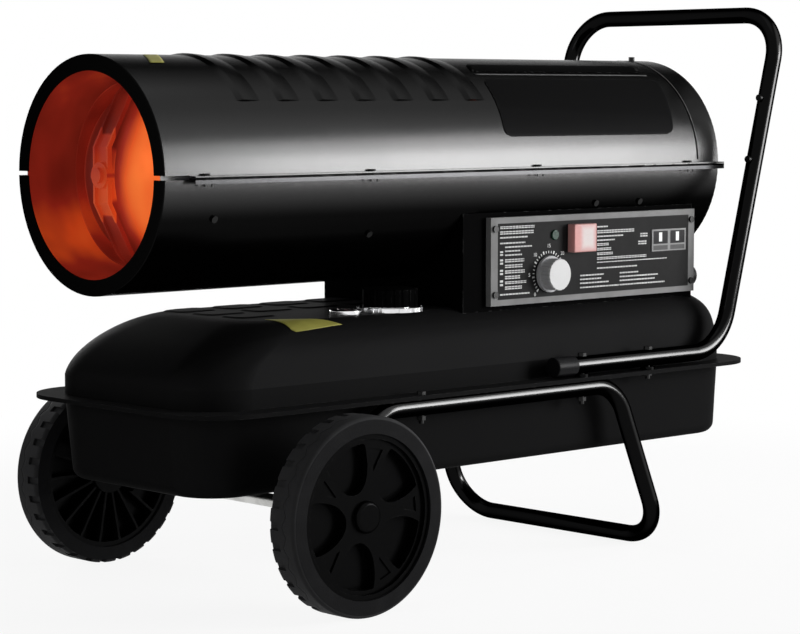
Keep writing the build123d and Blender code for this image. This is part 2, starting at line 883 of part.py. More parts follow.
# Vane pump that blows the fuel into a mist: body, rotor and filter cover
pump_end = motor_end + pump_length
with BuildPart() as pump_body:
    with BuildSketch(ring_plane(motor_end)):
        Circle(pump_radius)
    extrude(amount=pump_length)
    with BuildSketch(ring_plane(motor_end + pump_wall)):
        Circle(pump_cavity_radius)
    extrude(amount=pump_length, mode=Mode.SUBTRACT)
    with BuildSketch(ring_plane(motor_end - overrun)):
        Circle(shaft_radius + running_clearance)
    extrude(amount=pump_wall + 2 * overrun, mode=Mode.SUBTRACT)
write_piece(pump_body, "pump_body")

rotor_length = pump_length - pump_wall - 2 * body_gap
with BuildPart() as pump_rotor:
    with BuildSketch(ring_plane(motor_end + pump_wall + body_gap)):
        Circle(rotor_radius)
        with PolarLocations(rotor_radius, rotor_slot_count):
            Rectangle(2 * rotor_slot_depth, rotor_slot_width, mode=Mode.SUBTRACT)
        Circle(shaft_radius + running_clearance, mode=Mode.SUBTRACT)
    extrude(amount=rotor_length)
write_piece(pump_rotor, "pump_rotor")

with BuildPart() as pump_cover:
    with BuildSketch(ring_plane(pump_end)):
        Circle(cover_radius)
    extrude(amount=cover_length)
    with BuildSketch(ring_plane(pump_end + cover_length)):
        Circle(cover_boss_radius)
    extrude(amount=cover_boss_height)
    fillet(pump_cover.edges().filter_by(GeomType.CIRCLE).sort_by(Axis.X)[-1], cover_boss_height / 4)
    with BuildSketch(ring_plane(pump_end - overrun)):
        Circle(shaft_radius + body_gap)
    extrude(amount=shaft_end - pump_end + 2 * overrun, mode=Mode.SUBTRACT)
write_piece(pump_cover, "pump_cover")

# Air line from the pump down into the housing, forward, and up to the burner head
air_line_start_z = barrel_height - sqrt(pump_radius**2 - (air_line_y - air_line_radius) ** 2) - body_gap
air_line_end_z = barrel_height - electrode_rise
with BuildPart() as air_line:
    burner_seat = burner_back + burner_wall + body_gap
    add(
        rod_along(
            [
                (front_x + air_line_rear, air_line_y, air_line_start_z - air_line_radius),
                (front_x + air_line_rear, air_line_y, air_line_height),
                (front_x + air_line_front, air_line_y, air_line_height),
                (front_x + air_line_front, air_line_y, air_line_end_z),
                (front_x + burner_seat, air_line_y, air_line_end_z),
            ],
            [air_line_bend, air_line_bend, min(air_line_bend, air_line_front - burner_seat)],
            air_line_radius,
        )
    )
write_piece(air_line, "air_line")

# Fuel line with its filter low in the tank
with BuildPart() as fuel_line:
    filter_bottom = tank_floor + sheet + fuel_filter_floor_gap
    add(
        rod_along(
            [
                (front_x + nozzle_start + nozzle_length + body_gap, 0, barrel_height),
                (front_x + fuel_line_setback, 0, barrel_height),
                (front_x + fuel_line_setback, 0, filter_bottom + fuel_filter_height / 2),
            ],
            [fuel_line_bend],
            fuel_line_radius,
        )
    )
    with BuildSketch(Plane.XY.offset(filter_bottom)):
        with Locations((front_x + fuel_line_setback, 0)):
            Circle(fuel_filter_radius)
    extrude(amount=fuel_filter_height)
write_piece(fuel_line, "fuel_line")

# Rear guard: wire rings and spokes inside the inlet
guard_x = barrel_length - sheet - guard_inset
guard_outer = shell_inner_radius - body_gap - guard_wire
with BuildPart() as rear_guard:
    for ring in range(guard_ring_count):
        ring_radius = guard_outer * (ring + 1) / guard_ring_count
        wire = guard_wire if ring == guard_ring_count - 1 else guard_thin_wire
        with BuildSketch(ring_plane(guard_x - wire)):
            Circle(ring_radius + wire)
            Circle(ring_radius - wire, mode=Mode.SUBTRACT)
        extrude(amount=2 * wire)
    for spoke in range(guard_spoke_count):
        spoke_x = guard_x - guard_spoke_setback
        with BuildSketch(radial_plane(spoke_x, 360 / guard_spoke_count * spoke, guard_centre_radius / 2)):
            Circle(guard_spoke_wire)
        extrude(amount=guard_outer - guard_centre_radius / 2)
    with BuildSketch(ring_plane(guard_x - guard_wire)):
        Circle(guard_centre_radius)
    extrude(amount=2 * guard_wire)
write_piece(rear_guard, "rear_guard")

# Upper tank: soft nose, crowned sides and a flange with a turned-down hem
bolt_places = [
    (front_x + setback, side * run_half_width)
    for setback in (front_bolt_setback, shared_bolt_setback, rear_bolt_setback)
    for side in (-1, 1)
]
filler_x = front_x + filler_setback
gauge_x = front_x + gauge_setback
with BuildPart() as tank_upper:
    add(upper_tank_form(0, tank_top))
    add(rounded_outline(flange_height, flange_front, flange_rear, flange_half_width, flange_corner))
    extrude(amount=sheet)
    with BuildSketch(Plane.XY.offset(flange_height)):
        add(rounded_outline(0, flange_front, flange_rear, flange_half_width, flange_corner))
        add(
            rounded_outline(
                0,
                flange_front + sheet,
                flange_rear - sheet,
                flange_half_width - sheet,
                flange_corner - sheet,
            ),
            mode=Mode.SUBTRACT,
        )
    extrude(amount=sheet - flange_hem)
    add(upper_tank_form(sheet, tank_top - sheet), mode=Mode.SUBTRACT)
    with BuildSketch(Plane.XY.offset(flange_height - overrun)):
        with Locations(*bolt_places):
            Circle(bolt_radius + bolt_clearance)
    extrude(amount=3 * overrun, mode=Mode.SUBTRACT)
    with BuildSketch(Plane.XY.offset(tank_top - 2 * overrun)):
        with Locations((filler_x, filler_y)):
            Circle(neck_radius + body_gap)
        with Locations((gauge_x, gauge_y)):
            Circle(gauge_well_radius + sheet + body_gap)
        with Locations((front_x + fuel_line_setback, 0)):
            Circle(fuel_line_hole)
    extrude(amount=3 * overrun, mode=Mode.SUBTRACT)
write_piece(tank_upper, "tank_upper")

# Lower tank: a tapered tray with rounded bottom edges
with BuildPart() as tank_lower:
    add(lower_tank_form(0, tank_floor))
    with BuildSketch(Plane.XY.offset(flange_height - sheet)):
        add(
            rounded_outline(
                0,
                flange_front + sheet + body_gap,
                flange_rear - sheet - body_gap,
                flange_half_width - sheet - body_gap,
                flange_corner - sheet - body_gap,
            )
        )
    extrude(amount=sheet)
    add(lower_tank_form(sheet, tank_floor + sheet), mode=Mode.SUBTRACT)
    with BuildSketch(Plane.XY.offset(flange_height - overrun)):
        with Locations(*bolt_places):
            Circle(bolt_radius + bolt_clearance)
    extrude(amount=2 * overrun, mode=Mode.SUBTRACT)
    with BuildSketch(Plane.XY.offset(tank_floor - overrun)):
        with Locations((front_x + drain_setback, 0)):
            Circle(drain_thread_radius + body_gap)
    extrude(amount=2 * overrun, mode=Mode.SUBTRACT)
write_piece(tank_lower, "tank_lower")

with BuildPart() as drain_plug:
    with BuildSketch(Plane.XY.offset(tank_floor)):
        with Locations((front_x + drain_setback, 0)):
            RegularPolygon(drain_radius, 6)
    extrude(amount=-drain_head_height)
    with BuildSketch(Plane.XY.offset(tank_floor)):
        with Locations((front_x + drain_setback, 0)):
            Circle(drain_thread_radius)
    extrude(amount=2 * sheet + drain_head_height)
write_piece(drain_plug, "drain_plug")

# Filler: notched collar and neck, strainer basket, seal and screw cap
neck_top = tank_top + neck_rise
with BuildPart() as filler_collar:
    with BuildSketch(Plane.XY.offset(tank_top + body_gap)):
        with Locations((filler_x, filler_y)):
            Circle(collar_radius)
            Circle(neck_radius - neck_wall, mode=Mode.SUBTRACT)
            with PolarLocations(collar_radius, collar_notch_count):
                Rectangle(2 * collar_notch_depth, collar_notch_width, mode=Mode.SUBTRACT)
    extrude(amount=collar_height)
    with BuildSketch(Plane.XY.offset(tank_top - neck_depth)):
        with Locations((filler_x, filler_y)):
            Circle(neck_radius)
            Circle(neck_radius - neck_wall, mode=Mode.SUBTRACT)
    extrude(amount=neck_depth + neck_rise)
write_piece(filler_collar, "filler_collar")

with BuildPart() as filler_strainer:
    with BuildSketch(Plane.XY.offset(neck_top)):
        with Locations((filler_x, filler_y)):
            Circle(neck_radius)
            Circle(strainer_radius - strainer_wall, mode=Mode.SUBTRACT)
    extrude(amount=strainer_wall)
    with BuildSketch(Plane.XY.offset(neck_top - strainer_length)):
        with Locations((filler_x, filler_y)):
            Circle(strainer_radius)
    extrude(amount=strainer_length)
    with BuildSketch(Plane.XY.offset(neck_top - strainer_length + strainer_wall)):
        with Locations((filler_x, filler_y)):
            Circle(strainer_radius - strainer_wall)
    extrude(amount=2 * strainer_length, mode=Mode.SUBTRACT)
    window_middle = neck_top - strainer_length + strainer_window_height / 2 + 4 * strainer_wall
    with Locations((filler_x, filler_y, window_middle)):
        with PolarLocations(strainer_radius, strainer_window_count):
            Box(4 * strainer_wall, strainer_window_width, strainer_window_height, mode=Mode.SUBTRACT)
write_piece(filler_strainer, "filler_strainer")

seal_bottom = neck_top + strainer_wall + body_gap
with BuildPart() as cap_seal:
    with BuildSketch(Plane.XY.offset(seal_bottom)):
        with Locations((filler_x, filler_y)):
            Circle(neck_radius + body_gap)
    extrude(amount=seal_thickness)
write_piece(cap_seal, "cap_seal")

cap_bottom = tank_top + body_gap + collar_height + 2 * body_gap
cap_inside_top = seal_bottom + seal_thickness + body_gap
with BuildPart() as filler_cap:
    with BuildSketch(Plane.XY.offset(cap_bottom)):
        with Locations((filler_x, filler_y)):
            Circle(cap_radius)
            with PolarLocations(cap_radius + cap_flute_radius / 2, cap_flute_count):
                Circle(cap_flute_radius, mode=Mode.SUBTRACT)
    extrude(amount=cap_height)
    chamfer(filler_cap.faces().sort_by(Axis.Z)[-1].edges(), edge_rounding)
    with BuildSketch(Plane.XY.offset(cap_bottom)):
        with Locations((filler_x, filler_y)):
            Circle(neck_radius + 2 * body_gap)
    extrude(amount=cap_inside_top - cap_bottom, mode=Mode.SUBTRACT)
write_piece(filler_cap, "filler_cap")

# Fuel gauge: bezel with a well, needle, and a float on an arm inside the tank
pivot_z = tank_top - gauge_pivot_drop
with BuildPart() as gauge_body:
    with BuildSketch(Plane.XY.offset(tank_top + body_gap)):
        with Locations((gauge_x, gauge_y)):
            Circle(gauge_radius)
    extrude(amount=gauge_height)
    fillet(gauge_body.edges().sort_by(Axis.Z)[-1], edge_rounding)
    with BuildSketch(Plane.XY.offset(tank_top + body_gap)):
        with Locations((gauge_x, gauge_y)):
            Circle(gauge_well_radius + sheet)
    extrude(amount=-gauge_well_depth)
    with BuildSketch(Plane.XY.offset(tank_top + body_gap + gauge_height)):
        with Locations((gauge_x, gauge_y)):
            Circle(gauge_well_radius)
    extrude(amount=-(gauge_height + gauge_well_depth / 2), mode=Mode.SUBTRACT)
    with BuildSketch(Plane.XY.offset(tank_top + body_gap - gauge_well_depth)):
        with Locations((gauge_x, gauge_y + pivot_pin_length / 2)):
            Circle(gauge_post_radius)
    extrude(amount=-(gauge_pivot_drop - gauge_well_depth + gauge_post_radius))
    with BuildSketch(Plane.XZ.offset(-gauge_y - pivot_pin_length / 2)):
        with Locations((gauge_x, pivot_z)):
            Circle(pivot_pin_radius)
    extrude(amount=pivot_pin_length)
write_piece(gauge_body, "gauge_body")

with BuildPart() as gauge_lens:
    with BuildSketch(Plane.XY.offset(tank_top + body_gap + gauge_height - gauge_glass)):
        with Locations((gauge_x, gauge_y)):
            Circle(gauge_well_radius - running_clearance)
    extrude(amount=gauge_glass)
write_piece(gauge_lens, "gauge_lens")

needle_z = tank_top + body_gap - gauge_well_depth / 2
with BuildPart() as gauge_needle:
    with BuildSketch(Plane.XY.offset(needle_z + gauge_height / 2)):
        with Locations((gauge_x, gauge_y)):
            Circle(needle_width)
        with Locations((gauge_x, gauge_y + needle_length / 2)):
            Rectangle(needle_width / 2, needle_length)
    extrude(amount=needle_thickness)
    with BuildSketch(Plane.XY.offset(needle_z + running_clearance)):
        with Locations((gauge_x, gauge_y)):
            Circle(needle_pin_radius)
    extrude(amount=gauge_height / 2)
write_piece(gauge_needle, "gauge_needle")

# The float hangs at its empty stop, below and in front of its pivot
float_reach = float_arm_length * cos(radians(float_rest_angle))
float_drop = float_arm_length * sin(radians(float_rest_angle))
with BuildPart() as gauge_float:
    with BuildSketch(Plane.XZ.offset(-gauge_y - float_hub_half)):
        with Locations((gauge_x, pivot_z)):
            Circle(2 * pivot_pin_radius)
    extrude(amount=2 * float_hub_half)
    arm_direction = Vector(-float_reach, 0, -float_drop)
    arm_start = Vector(gauge_x, gauge_y, pivot_z) + arm_direction.normalized() * 1.5 * pivot_pin_radius
    with BuildSketch(Plane(origin=arm_start, z_dir=arm_direction)):
        Circle(float_arm_radius)
    extrude(amount=float_arm_length)
    with BuildSketch(Plane.XZ.offset(-gauge_y - float_length / 2)):
        with Locations((gauge_x - float_reach, pivot_z - float_drop)):
            Circle(float_radius)
    extrude(amount=float_length)
    with BuildSketch(Plane.XZ.offset(-gauge_y - pivot_pin_length)):
        with Locations((gauge_x, pivot_z)):
            Circle(pivot_pin_radius + running_clearance)
    extrude(amount=2 * pivot_pin_length, mode=Mode.SUBTRACT)
write_piece(gauge_float, "gauge_float")

# Control housing: four sheet walls, fitted to the tank below and the barrel above
housing_length = housing_rear - housing_front
housing_middle = front_x + (housing_front + housing_rear) / 2
housing_bottom = tank_top - housing_skirt
side_top = barrel_height - sqrt((barrel_radius + body_gap) ** 2 - housing_half_width**2) - housing_top_margin
panel_middle = front_x + (panel_front + panel_rear) / 2
with BuildPart() as lower_housing:
    with BuildSketch(Plane.XY.offset(housing_bottom)):
        with Locations((housing_middle, 0)):
            Rectangle(housing_length, 2 * housing_half_width)
            Rectangle(housing_length - 2 * sheet, 2 * (housing_half_width - sheet), mode=Mode.SUBTRACT)
    extrude(amount=side_top - housing_bottom)
    with BuildSketch(ring_plane(housing_front - overrun)):
        Circle(barrel_radius + body_gap)
    extrude(amount=housing_length + 2 * overrun, mode=Mode.SUBTRACT)
    add(upper_tank_form(-body_gap, tank_top + body_gap), mode=Mode.SUBTRACT)
    with BuildSketch(Plane.XZ.offset(housing_half_width + overrun)):
        with Locations((panel_middle, (panel_bottom + panel_top) / 2)):
            Rectangle(
                panel_rear - panel_front - 2 * window_margin, panel_top - panel_bottom - 2 * window_margin / 2
            )
    extrude(amount=-(overrun + 2 * sheet), mode=Mode.SUBTRACT)
    for screw_x, screw_z in panel_screw_places:
        with BuildSketch(Plane.XZ.offset(housing_half_width + overrun)):
            with Locations((screw_x, screw_z)):
                Circle(screw_radius + screw_clearance)
        extrude(amount=-(overrun + 2 * sheet), mode=Mode.SUBTRACT)
    with BuildSketch(Plane.YZ.offset(front_x + housing_rear - 2 * sheet)):
        with Locations((gland_y, gland_height)):
            Circle(gland_bore + sheet + body_gap)
    extrude(amount=2 * sheet + overrun, mode=Mode.SUBTRACT)
write_piece(lower_housing, "lower_housing")

# Control panel: a tray with returned edges, cut out for each control
with BuildPart() as control_panel:
    panel_width = panel_rear - panel_front
    panel_height = panel_top - panel_bottom
    with BuildSketch(Plane.XZ.offset(-panel_face_y)):
        with Locations((panel_middle, (panel_bottom + panel_top) / 2)):
            Rectangle(panel_width, panel_height)
    extrude(amount=-(panel_stand - body_gap))
    with BuildSketch(Plane.XZ.offset(-panel_face_y - sheet)):
        with Locations((panel_middle, (panel_bottom + panel_top) / 2)):
            Rectangle(panel_width - 2 * sheet, panel_height - 2 * sheet)
    extrude(amount=-panel_stand, mode=Mode.SUBTRACT)
    with BuildSketch(Plane.XZ.offset(-panel_face_y + overrun)):
        with Locations((front_x + knob_setback, knob_height)):
            Circle(knob_stem_radius + 2 * body_gap)
        with Locations((front_x + rocker_setback, rocker_height)):
            Rectangle(
                switch_width - 2 * switch_bezel + 2 * body_gap, switch_height - 2 * switch_bezel + 2 * body_gap
            )
        with Locations((front_x + lamp_setback, lamp_height)):
            Circle(lamp_radius + body_gap)
        with Locations((front_x + (display_front + display_rear) / 2, (display_bottom + display_top) / 2)):
            Rectangle(display_rear - display_front + body_gap, display_top - display_bottom + body_gap)
        for place in panel_screw_places:
            with Locations(place):
                Circle(screw_radius + screw_clearance)
    extrude(amount=-(overrun + 2 * sheet), mode=Mode.SUBTRACT)
write_piece(control_panel, "control_panel")

# Thermostat behind the panel, and its knob with a stem
thermostat_front_y = panel_face_y + sheet
with BuildPart() as thermostat_body:
    with BuildSketch(Plane.XZ.offset(-thermostat_front_y)):
        with Locations((front_x + knob_setback, knob_height)):
            RectangleRounded(thermostat_size, thermostat_size, sheet)
            Circle(knob_stem_radius + running_clearance, mode=Mode.SUBTRACT)
    extrude(amount=-thermostat_depth)
write_piece(thermostat_body, "thermostat_body")

with BuildPart() as thermostat_knob:
    with BuildSketch(Plane.XZ.offset(-panel_face_y + knob_gap)):
        with Locations((front_x + knob_setback, knob_height)):
            Circle(knob_skirt_radius)
    extrude(amount=knob_length / 5)
    with BuildSketch(Plane.XZ.offset(-panel_face_y + knob_gap)):
        with Locations((front_x + knob_setback, knob_height)):
            Circle(knob_radius)
    extrude(amount=knob_length)
    chamfer(thermostat_knob.faces().sort_by(Axis.Y)[0].edges(), knob_grip_depth)
    with BuildSketch(Plane.XZ.offset(-panel_face_y + knob_gap + knob_length / 5)):
        with Locations((front_x + knob_setback, knob_height)):
            with PolarLocations(knob_radius + knob_grip_depth, knob_grip_count):
                Circle(2 * knob_grip_depth)
    extrude(amount=knob_length, mode=Mode.SUBTRACT)
    with BuildSketch(Plane.XZ.offset(-panel_face_y + knob_gap)):
        with Locations((front_x + knob_setback, knob_height)):
            Circle(knob_stem_radius)
    extrude(amount=-(knob_gap + sheet + thermostat_depth / 2))
write_piece(thermostat_knob, "thermostat_knob")

# Power switch: bezel and body, a rocking paddle on pins, and a clear splash cover
with BuildPart() as switch_body:
    with BuildSketch(Plane.XZ.offset(-panel_face_y)):
        with Locations((front_x + rocker_setback, rocker_height)):
            RectangleRounded(switch_width, switch_height, sheet)
    extrude(amount=sheet)
    with BuildSketch(Plane.XZ.offset(-panel_face_y)):
        with Locations((front_x + rocker_setback, rocker_height)):
            Rectangle(switch_width - 2 * switch_bezel, switch_height - 2 * switch_bezel)
    extrude(amount=-switch_depth)
    with BuildSketch(Plane.XZ.offset(-panel_face_y + overrun)):
        with Locations((front_x + rocker_setback, rocker_height)):
            Rectangle(paddle_width + 2 * body_gap, paddle_height + 2 * body_gap)
    extrude(amount=-(overrun + switch_depth - sheet), mode=Mode.SUBTRACT)
    with BuildSketch(Plane.YZ.offset(front_x + rocker_setback - switch_width / 2 + sheet)):
        with Locations((panel_face_y + paddle_thickness / 2, rocker_height)):
            Circle(rocker_pin_radius + running_clearance)
    extrude(amount=switch_width - 2 * sheet, mode=Mode.SUBTRACT)
write_piece(switch_body, "switch_body")

with BuildPart() as power_rocker:
    with BuildSketch(Plane.YZ.offset(front_x + rocker_setback - paddle_width / 2)):
        with BuildLine():
            Polyline(
                (panel_face_y + paddle_thickness / 2 + rocker_pin_radius, rocker_height - paddle_height / 4),
                (panel_face_y + paddle_thickness / 2, rocker_height - paddle_height / 2),
                (panel_face_y - sheet, rocker_height - paddle_height / 2),
                (panel_face_y, rocker_height),
                (panel_face_y - paddle_thickness, rocker_height + paddle_height / 2 - 2 * sheet),
                (panel_face_y - sheet, rocker_height + paddle_height / 2 - sheet),
                (panel_face_y + paddle_thickness / 2 + rocker_pin_radius, rocker_height + paddle_height / 4),
                close=True,
            )
        make_face()
    extrude(amount=paddle_width)
    with BuildSketch(Plane.YZ.offset(front_x + rocker_setback - paddle_width / 2 - 2 * sheet)):
        with Locations((panel_face_y + paddle_thickness / 2, rocker_height)):
            Circle(rocker_pin_radius)
    extrude(amount=paddle_width + 4 * sheet)
write_piece(power_rocker, "power_rocker")

with BuildPart() as rocker_cover:
    with BuildSketch(Plane.XZ.offset(-panel_face_y + sheet)):
        with Locations((front_x + rocker_setback, rocker_height)):
            RectangleRounded(switch_width, switch_height, sheet)
    extrude(amount=rocker_cover_rise)
    fillet(rocker_cover.faces().sort_by(Axis.Y)[0].edges(), sheet)
    with BuildSketch(Plane.XZ.offset(-panel_face_y + sheet)):
        with Locations((front_x + rocker_setback, rocker_height)):
            Rectangle(switch_width - 2 * rocker_cover_wall, switch_height - 2 * rocker_cover_wall)
    extrude(amount=rocker_cover_rise - rocker_cover_wall, mode=Mode.SUBTRACT)
write_piece(rocker_cover, "rocker_cover")

with BuildPart() as status_lamp:
    with BuildSketch(Plane.XZ.offset(-panel_face_y - lamp_depth)):
        with Locations((front_x + lamp_setback, lamp_height)):
            Circle(lamp_radius)
    extrude(amount=lamp_depth)
    with BuildSketch(Plane.XZ.offset(-panel_face_y)):
        with Locations((front_x + lamp_setback, lamp_height)):
            Circle(lamp_radius + sheet)
    extrude(amount=lamp_rise)
    fillet(status_lamp.edges().sort_by(Axis.Y)[0], edge_rounding)
write_piece(status_lamp, "status_lamp")

with BuildPart() as display_window:
    with BuildSketch(Plane.XZ.offset(-panel_face_y + display_rise)):
        with Locations((front_x + (display_front + display_rear) / 2, (display_bottom + display_top) / 2)):
            Rectangle(display_rear - display_front, display_top - display_bottom)
    extrude(amount=-(display_rise + display_depth))
write_piece(display_window, "display_window")

# Control board on standoffs behind the panel
with BuildPart() as control_board:
    board_y = panel_face_y + sheet + board_standoff
    board_middle_x = front_x + (board_front + board_rear) / 2
    board_middle_z = (board_bottom + board_top) / 2
    with BuildSketch(Plane.XZ.offset(-board_y)):
        with Locations((board_middle_x, board_middle_z)):
            Rectangle(board_rear - board_front, board_top - board_bottom)
    extrude(amount=-board_thickness)
    with BuildSketch(Plane.XZ.offset(-board_y)):
        with Locations((board_middle_x, board_middle_z)):
            with GridLocations(
                board_rear - board_front - 4 * board_standoff_radius,
                board_top - board_bottom - 3 * board_standoff_radius,
                2,
                2,
            ):
                Circle(board_standoff_radius)
    extrude(amount=board_standoff)
    with BuildSketch(Plane.XZ.offset(-board_y - board_thickness)):
        with Locations((board_middle_x, board_middle_z)):
            with GridLocations((board_rear - board_front) / 4, 0, 3, 1):
                Rectangle((board_rear - board_front) / 6, (board_top - board_bottom) / 2)
    extrude(amount=-board_standoff / 2)
write_piece(control_board, "control_board")

with BuildPart() as ignition_transformer:
    with Locations(
        (
            front_x + transformer_front + transformer_length / 2,
            housing_half_width - sheet - transformer_width / 2,
            transformer_bottom + transformer_height / 2,
        )
    ):
        Box(transformer_length, transformer_width, transformer_height)
    fillet(ignition_transformer.edges().filter_by(Axis.Y), sheet)
write_piece(ignition_transformer, "ignition_transformer")

# Cable gland on the rear wall, with its bore left open
with BuildPart() as cable_gland:
    with BuildSketch(Plane.YZ.offset(front_x + housing_rear)):
        with Locations((gland_y, gland_height)):
            Circle(gland_radius)
    extrude(amount=gland_length)
    fillet(cable_gland.edges().sort_by(Axis.X)[-1], gland_radius / 3)
    with BuildSketch(Plane.YZ.offset(front_x + housing_rear - 2 * sheet)):
        with Locations((gland_y, gland_height)):
            Circle(gland_bore + sheet)
    extrude(amount=2 * sheet)
    with BuildSketch(Plane.YZ.offset(front_x + housing_rear - 2 * sheet - overrun)):
        with Locations((gland_y, gland_height)):
            Circle(gland_bore)
    extrude(amount=gland_length + 2 * sheet + 2 * overrun, mode=Mode.SUBTRACT)
write_piece(cable_gland, "cable_gland")

# Handle: one bent tube that lies on the flange, rises behind the barrel and crosses over
handle_run_z = flange_height + sheet + spacer_height + tube_radius
handle_top_z = handle_top - tube_radius
handle_top_x = rear_x - tube_radius
handle_knee_x = front_x + handle_knee_setback
with BuildPart() as handle:
    add(
        tube_along(
            [
                (front_x + handle_run_start, -run_half_width, handle_run_z),
                (handle_knee_x, -run_half_width, handle_run_z),
                (handle_top_x, -handle_half_width, handle_top_z),
                (handle_top_x, handle_half_width, handle_top_z),
                (handle_knee_x, run_half_width, handle_run_z),
                (front_x + handle_run_start, run_half_width, handle_run_z),
            ],
            [handle_knee_bend, handle_top_bend, handle_top_bend, handle_knee_bend],
        )
    )
    with BuildSketch(Plane.XY.offset(handle_run_z - 2 * tube_radius)):
        for place in bolt_places[2:]:
            with Locations(place):
                Circle(bolt_radius + bolt_clearance)
    extrude(amount=4 * tube_radius, mode=Mode.SUBTRACT)
    for side in (-1, 1):
        for height in wrap_bolt_heights:
            rise = (height - handle_run_z) / (handle_top_z - handle_run_z)
            wrap_y = side * (run_half_width + (handle_half_width - run_half_width) * rise)
            with BuildSketch(Plane.YZ.offset(handle_knee_x - 2 * tube_radius)):
                with Locations((wrap_y, height)):
                    Circle(wrap_bolt_radius + bolt_clearance)
            extrude(
                amount=(handle_top_x - handle_knee_x) * rise + 2 * tube_radius, mode=Mode.SUBTRACT
            )
write_piece(handle, "handle")

with BuildPart() as handle_end_caps:
    for side in (-1, 1):
        cap_plane = Plane(
            origin=(front_x + end_cap_start, side * run_half_width, handle_run_z), z_dir=(1, 0, 0)
        )
        with BuildSketch(cap_plane):
            Circle(end_cap_radius)
        extrude(amount=end_cap_length)
        fillet(
            handle_end_caps.faces().filter_by(Axis.X).group_by(Axis.X)[0].edges().filter_by(
                lambda edge, y=side: edge.center().Y * y > 0
            ),
            sheet,
        )
        with BuildSketch(cap_plane.offset(handle_run_start - end_cap_start)):
            Circle(tube_radius + running_clearance)
        extrude(amount=end_cap_length, mode=Mode.SUBTRACT)
write_piece(handle_end_caps, "handle_end_caps")

# Stand: one bent tube from the axle, under the flange, down to a cross foot
stand_run_z = flange_height - sheet - tube_radius - body_gap
axle_x = front_x + wheel_setback
fork_x = front_x + stand_fork_setback
fork_direction = Vector(axle_x - fork_x, 0, wheel_radius - stand_run_z).normalized()
fork_end = Vector(axle_x, 0, wheel_radius) + fork_direction * stand_end_past_axle
with BuildPart() as stand:
    add(
        tube_along(
            [
                (fork_end.X, -run_half_width, fork_end.Z),
                (fork_x, -run_half_width, stand_run_z),
                (front_x + stand_knee_setback, -run_half_width, stand_run_z),
                (front_x + stand_foot_setback, -stand_half_width, tube_radius),
                (front_x + stand_foot_setback, stand_half_width, tube_radius),
                (front_x + stand_knee_setback, run_half_width, stand_run_z),
                (fork_x, run_half_width, stand_run_z),
                (fork_end.X, run_half_width, fork_end.Z),
            ],
            [
                stand_fork_bend,
                stand_knee_bend,
                stand_foot_bend,
                stand_foot_bend,
                stand_knee_bend,
                stand_fork_bend,
            ],
        )
    )
    with BuildSketch(Plane.XY.offset(stand_run_z - 2 * tube_radius)):
        for place in bolt_places[:4]:
            with Locations(place):
                Circle(bolt_radius + bolt_clearance)
    extrude(amount=4 * tube_radius, mode=Mode.SUBTRACT)
    with BuildSketch(Plane.XZ.offset(-2 * run_half_width)):
        with Locations((axle_x, wheel_radius)):
            Circle(axle_radius + body_gap)
    extrude(amount=4 * run_half_width, mode=Mode.SUBTRACT)
write_piece(stand, "stand")

with BuildPart() as handle_spacers:
    with BuildSketch(Plane.XY.offset(flange_height + sheet)):
        for place in bolt_places[2:]:
            with Locations(place):
                Circle(tube_radius - sheet)
                Circle(bolt_radius + bolt_clearance, mode=Mode.SUBTRACT)
    extrude(amount=spacer_height - body_gap)
write_piece(handle_spacers, "handle_spacers")

# Bolts through tubes and flange, and short bolts on the uprights for wrapping a cord
handle_bolt_top = handle_run_z + tube_radius
flange_bolt_top = flange_height + sheet
stand_bolt_bottom = stand_run_z - tube_radius - body_gap
flange_bolt_bottom = flange_height - sheet
bolt_spans = []
for place in bolt_places:
    held_by_handle = place in bolt_places[2:]
    held_by_stand = place in bolt_places[:4]
    bolt_spans.append(
        (
            place,
            handle_bolt_top if held_by_handle else flange_bolt_top,
            stand_bolt_bottom if held_by_stand else flange_bolt_bottom,
        )
    )
with BuildPart() as frame_bolts:
    for place, top, bottom in bolt_spans:
        with BuildSketch(Plane.XY.offset(top)):
            with Locations(place):
                RegularPolygon(bolt_head_radius, 6)
        extrude(amount=bolt_head_height)
        with BuildSketch(Plane.XY.offset(top)):
            with Locations(place):
                Circle(bolt_radius)
        extrude(amount=bottom - nut_height - bolt_tip - top)
    for side in (-1, 1):
        for height in wrap_bolt_heights:
            rise = (height - handle_run_z) / (handle_top_z - handle_run_z)
            wrap_x = handle_knee_x + (handle_top_x - handle_knee_x) * rise - tube_radius - sheet
            wrap_y = side * (run_half_width + (handle_half_width - run_half_width) * rise)
            with BuildSketch(Plane.YZ.offset(wrap_x)):
                with Locations((wrap_y, height)):
                    Circle(wrap_head_radius)
            extrude(amount=-wrap_head_height)
            with BuildSketch(Plane.YZ.offset(wrap_x)):
                with Locations((wrap_y, height)):
                    Circle(wrap_bolt_radius)
            extrude(amount=tube_radius)
write_piece(frame_bolts, "frame_bolts")

with BuildPart() as frame_nuts:
    for place, top, bottom in bolt_spans:
        with BuildSketch(Plane.XY.offset(bottom)):
            with Locations(place):
                RegularPolygon(bolt_head_radius, 6)
                Circle(bolt_radius + running_clearance, mode=Mode.SUBTRACT)
        extrude(amount=-nut_height)
write_piece(frame_nuts, "frame_nuts")

# Axle through both forks, held by four collars
hub_inner = wheel_inner - body_gap
cap_seat = wheel_outer - cap_dome_depth
axle_end = cap_seat - 2 * body_gap
with BuildPart() as axle:
    with BuildSketch(Plane.XZ):
        with Locations((axle_x, wheel_radius)):
            Circle(axle_radius)
    extrude(amount=axle_end, both=True)
write_piece(axle, "axle")

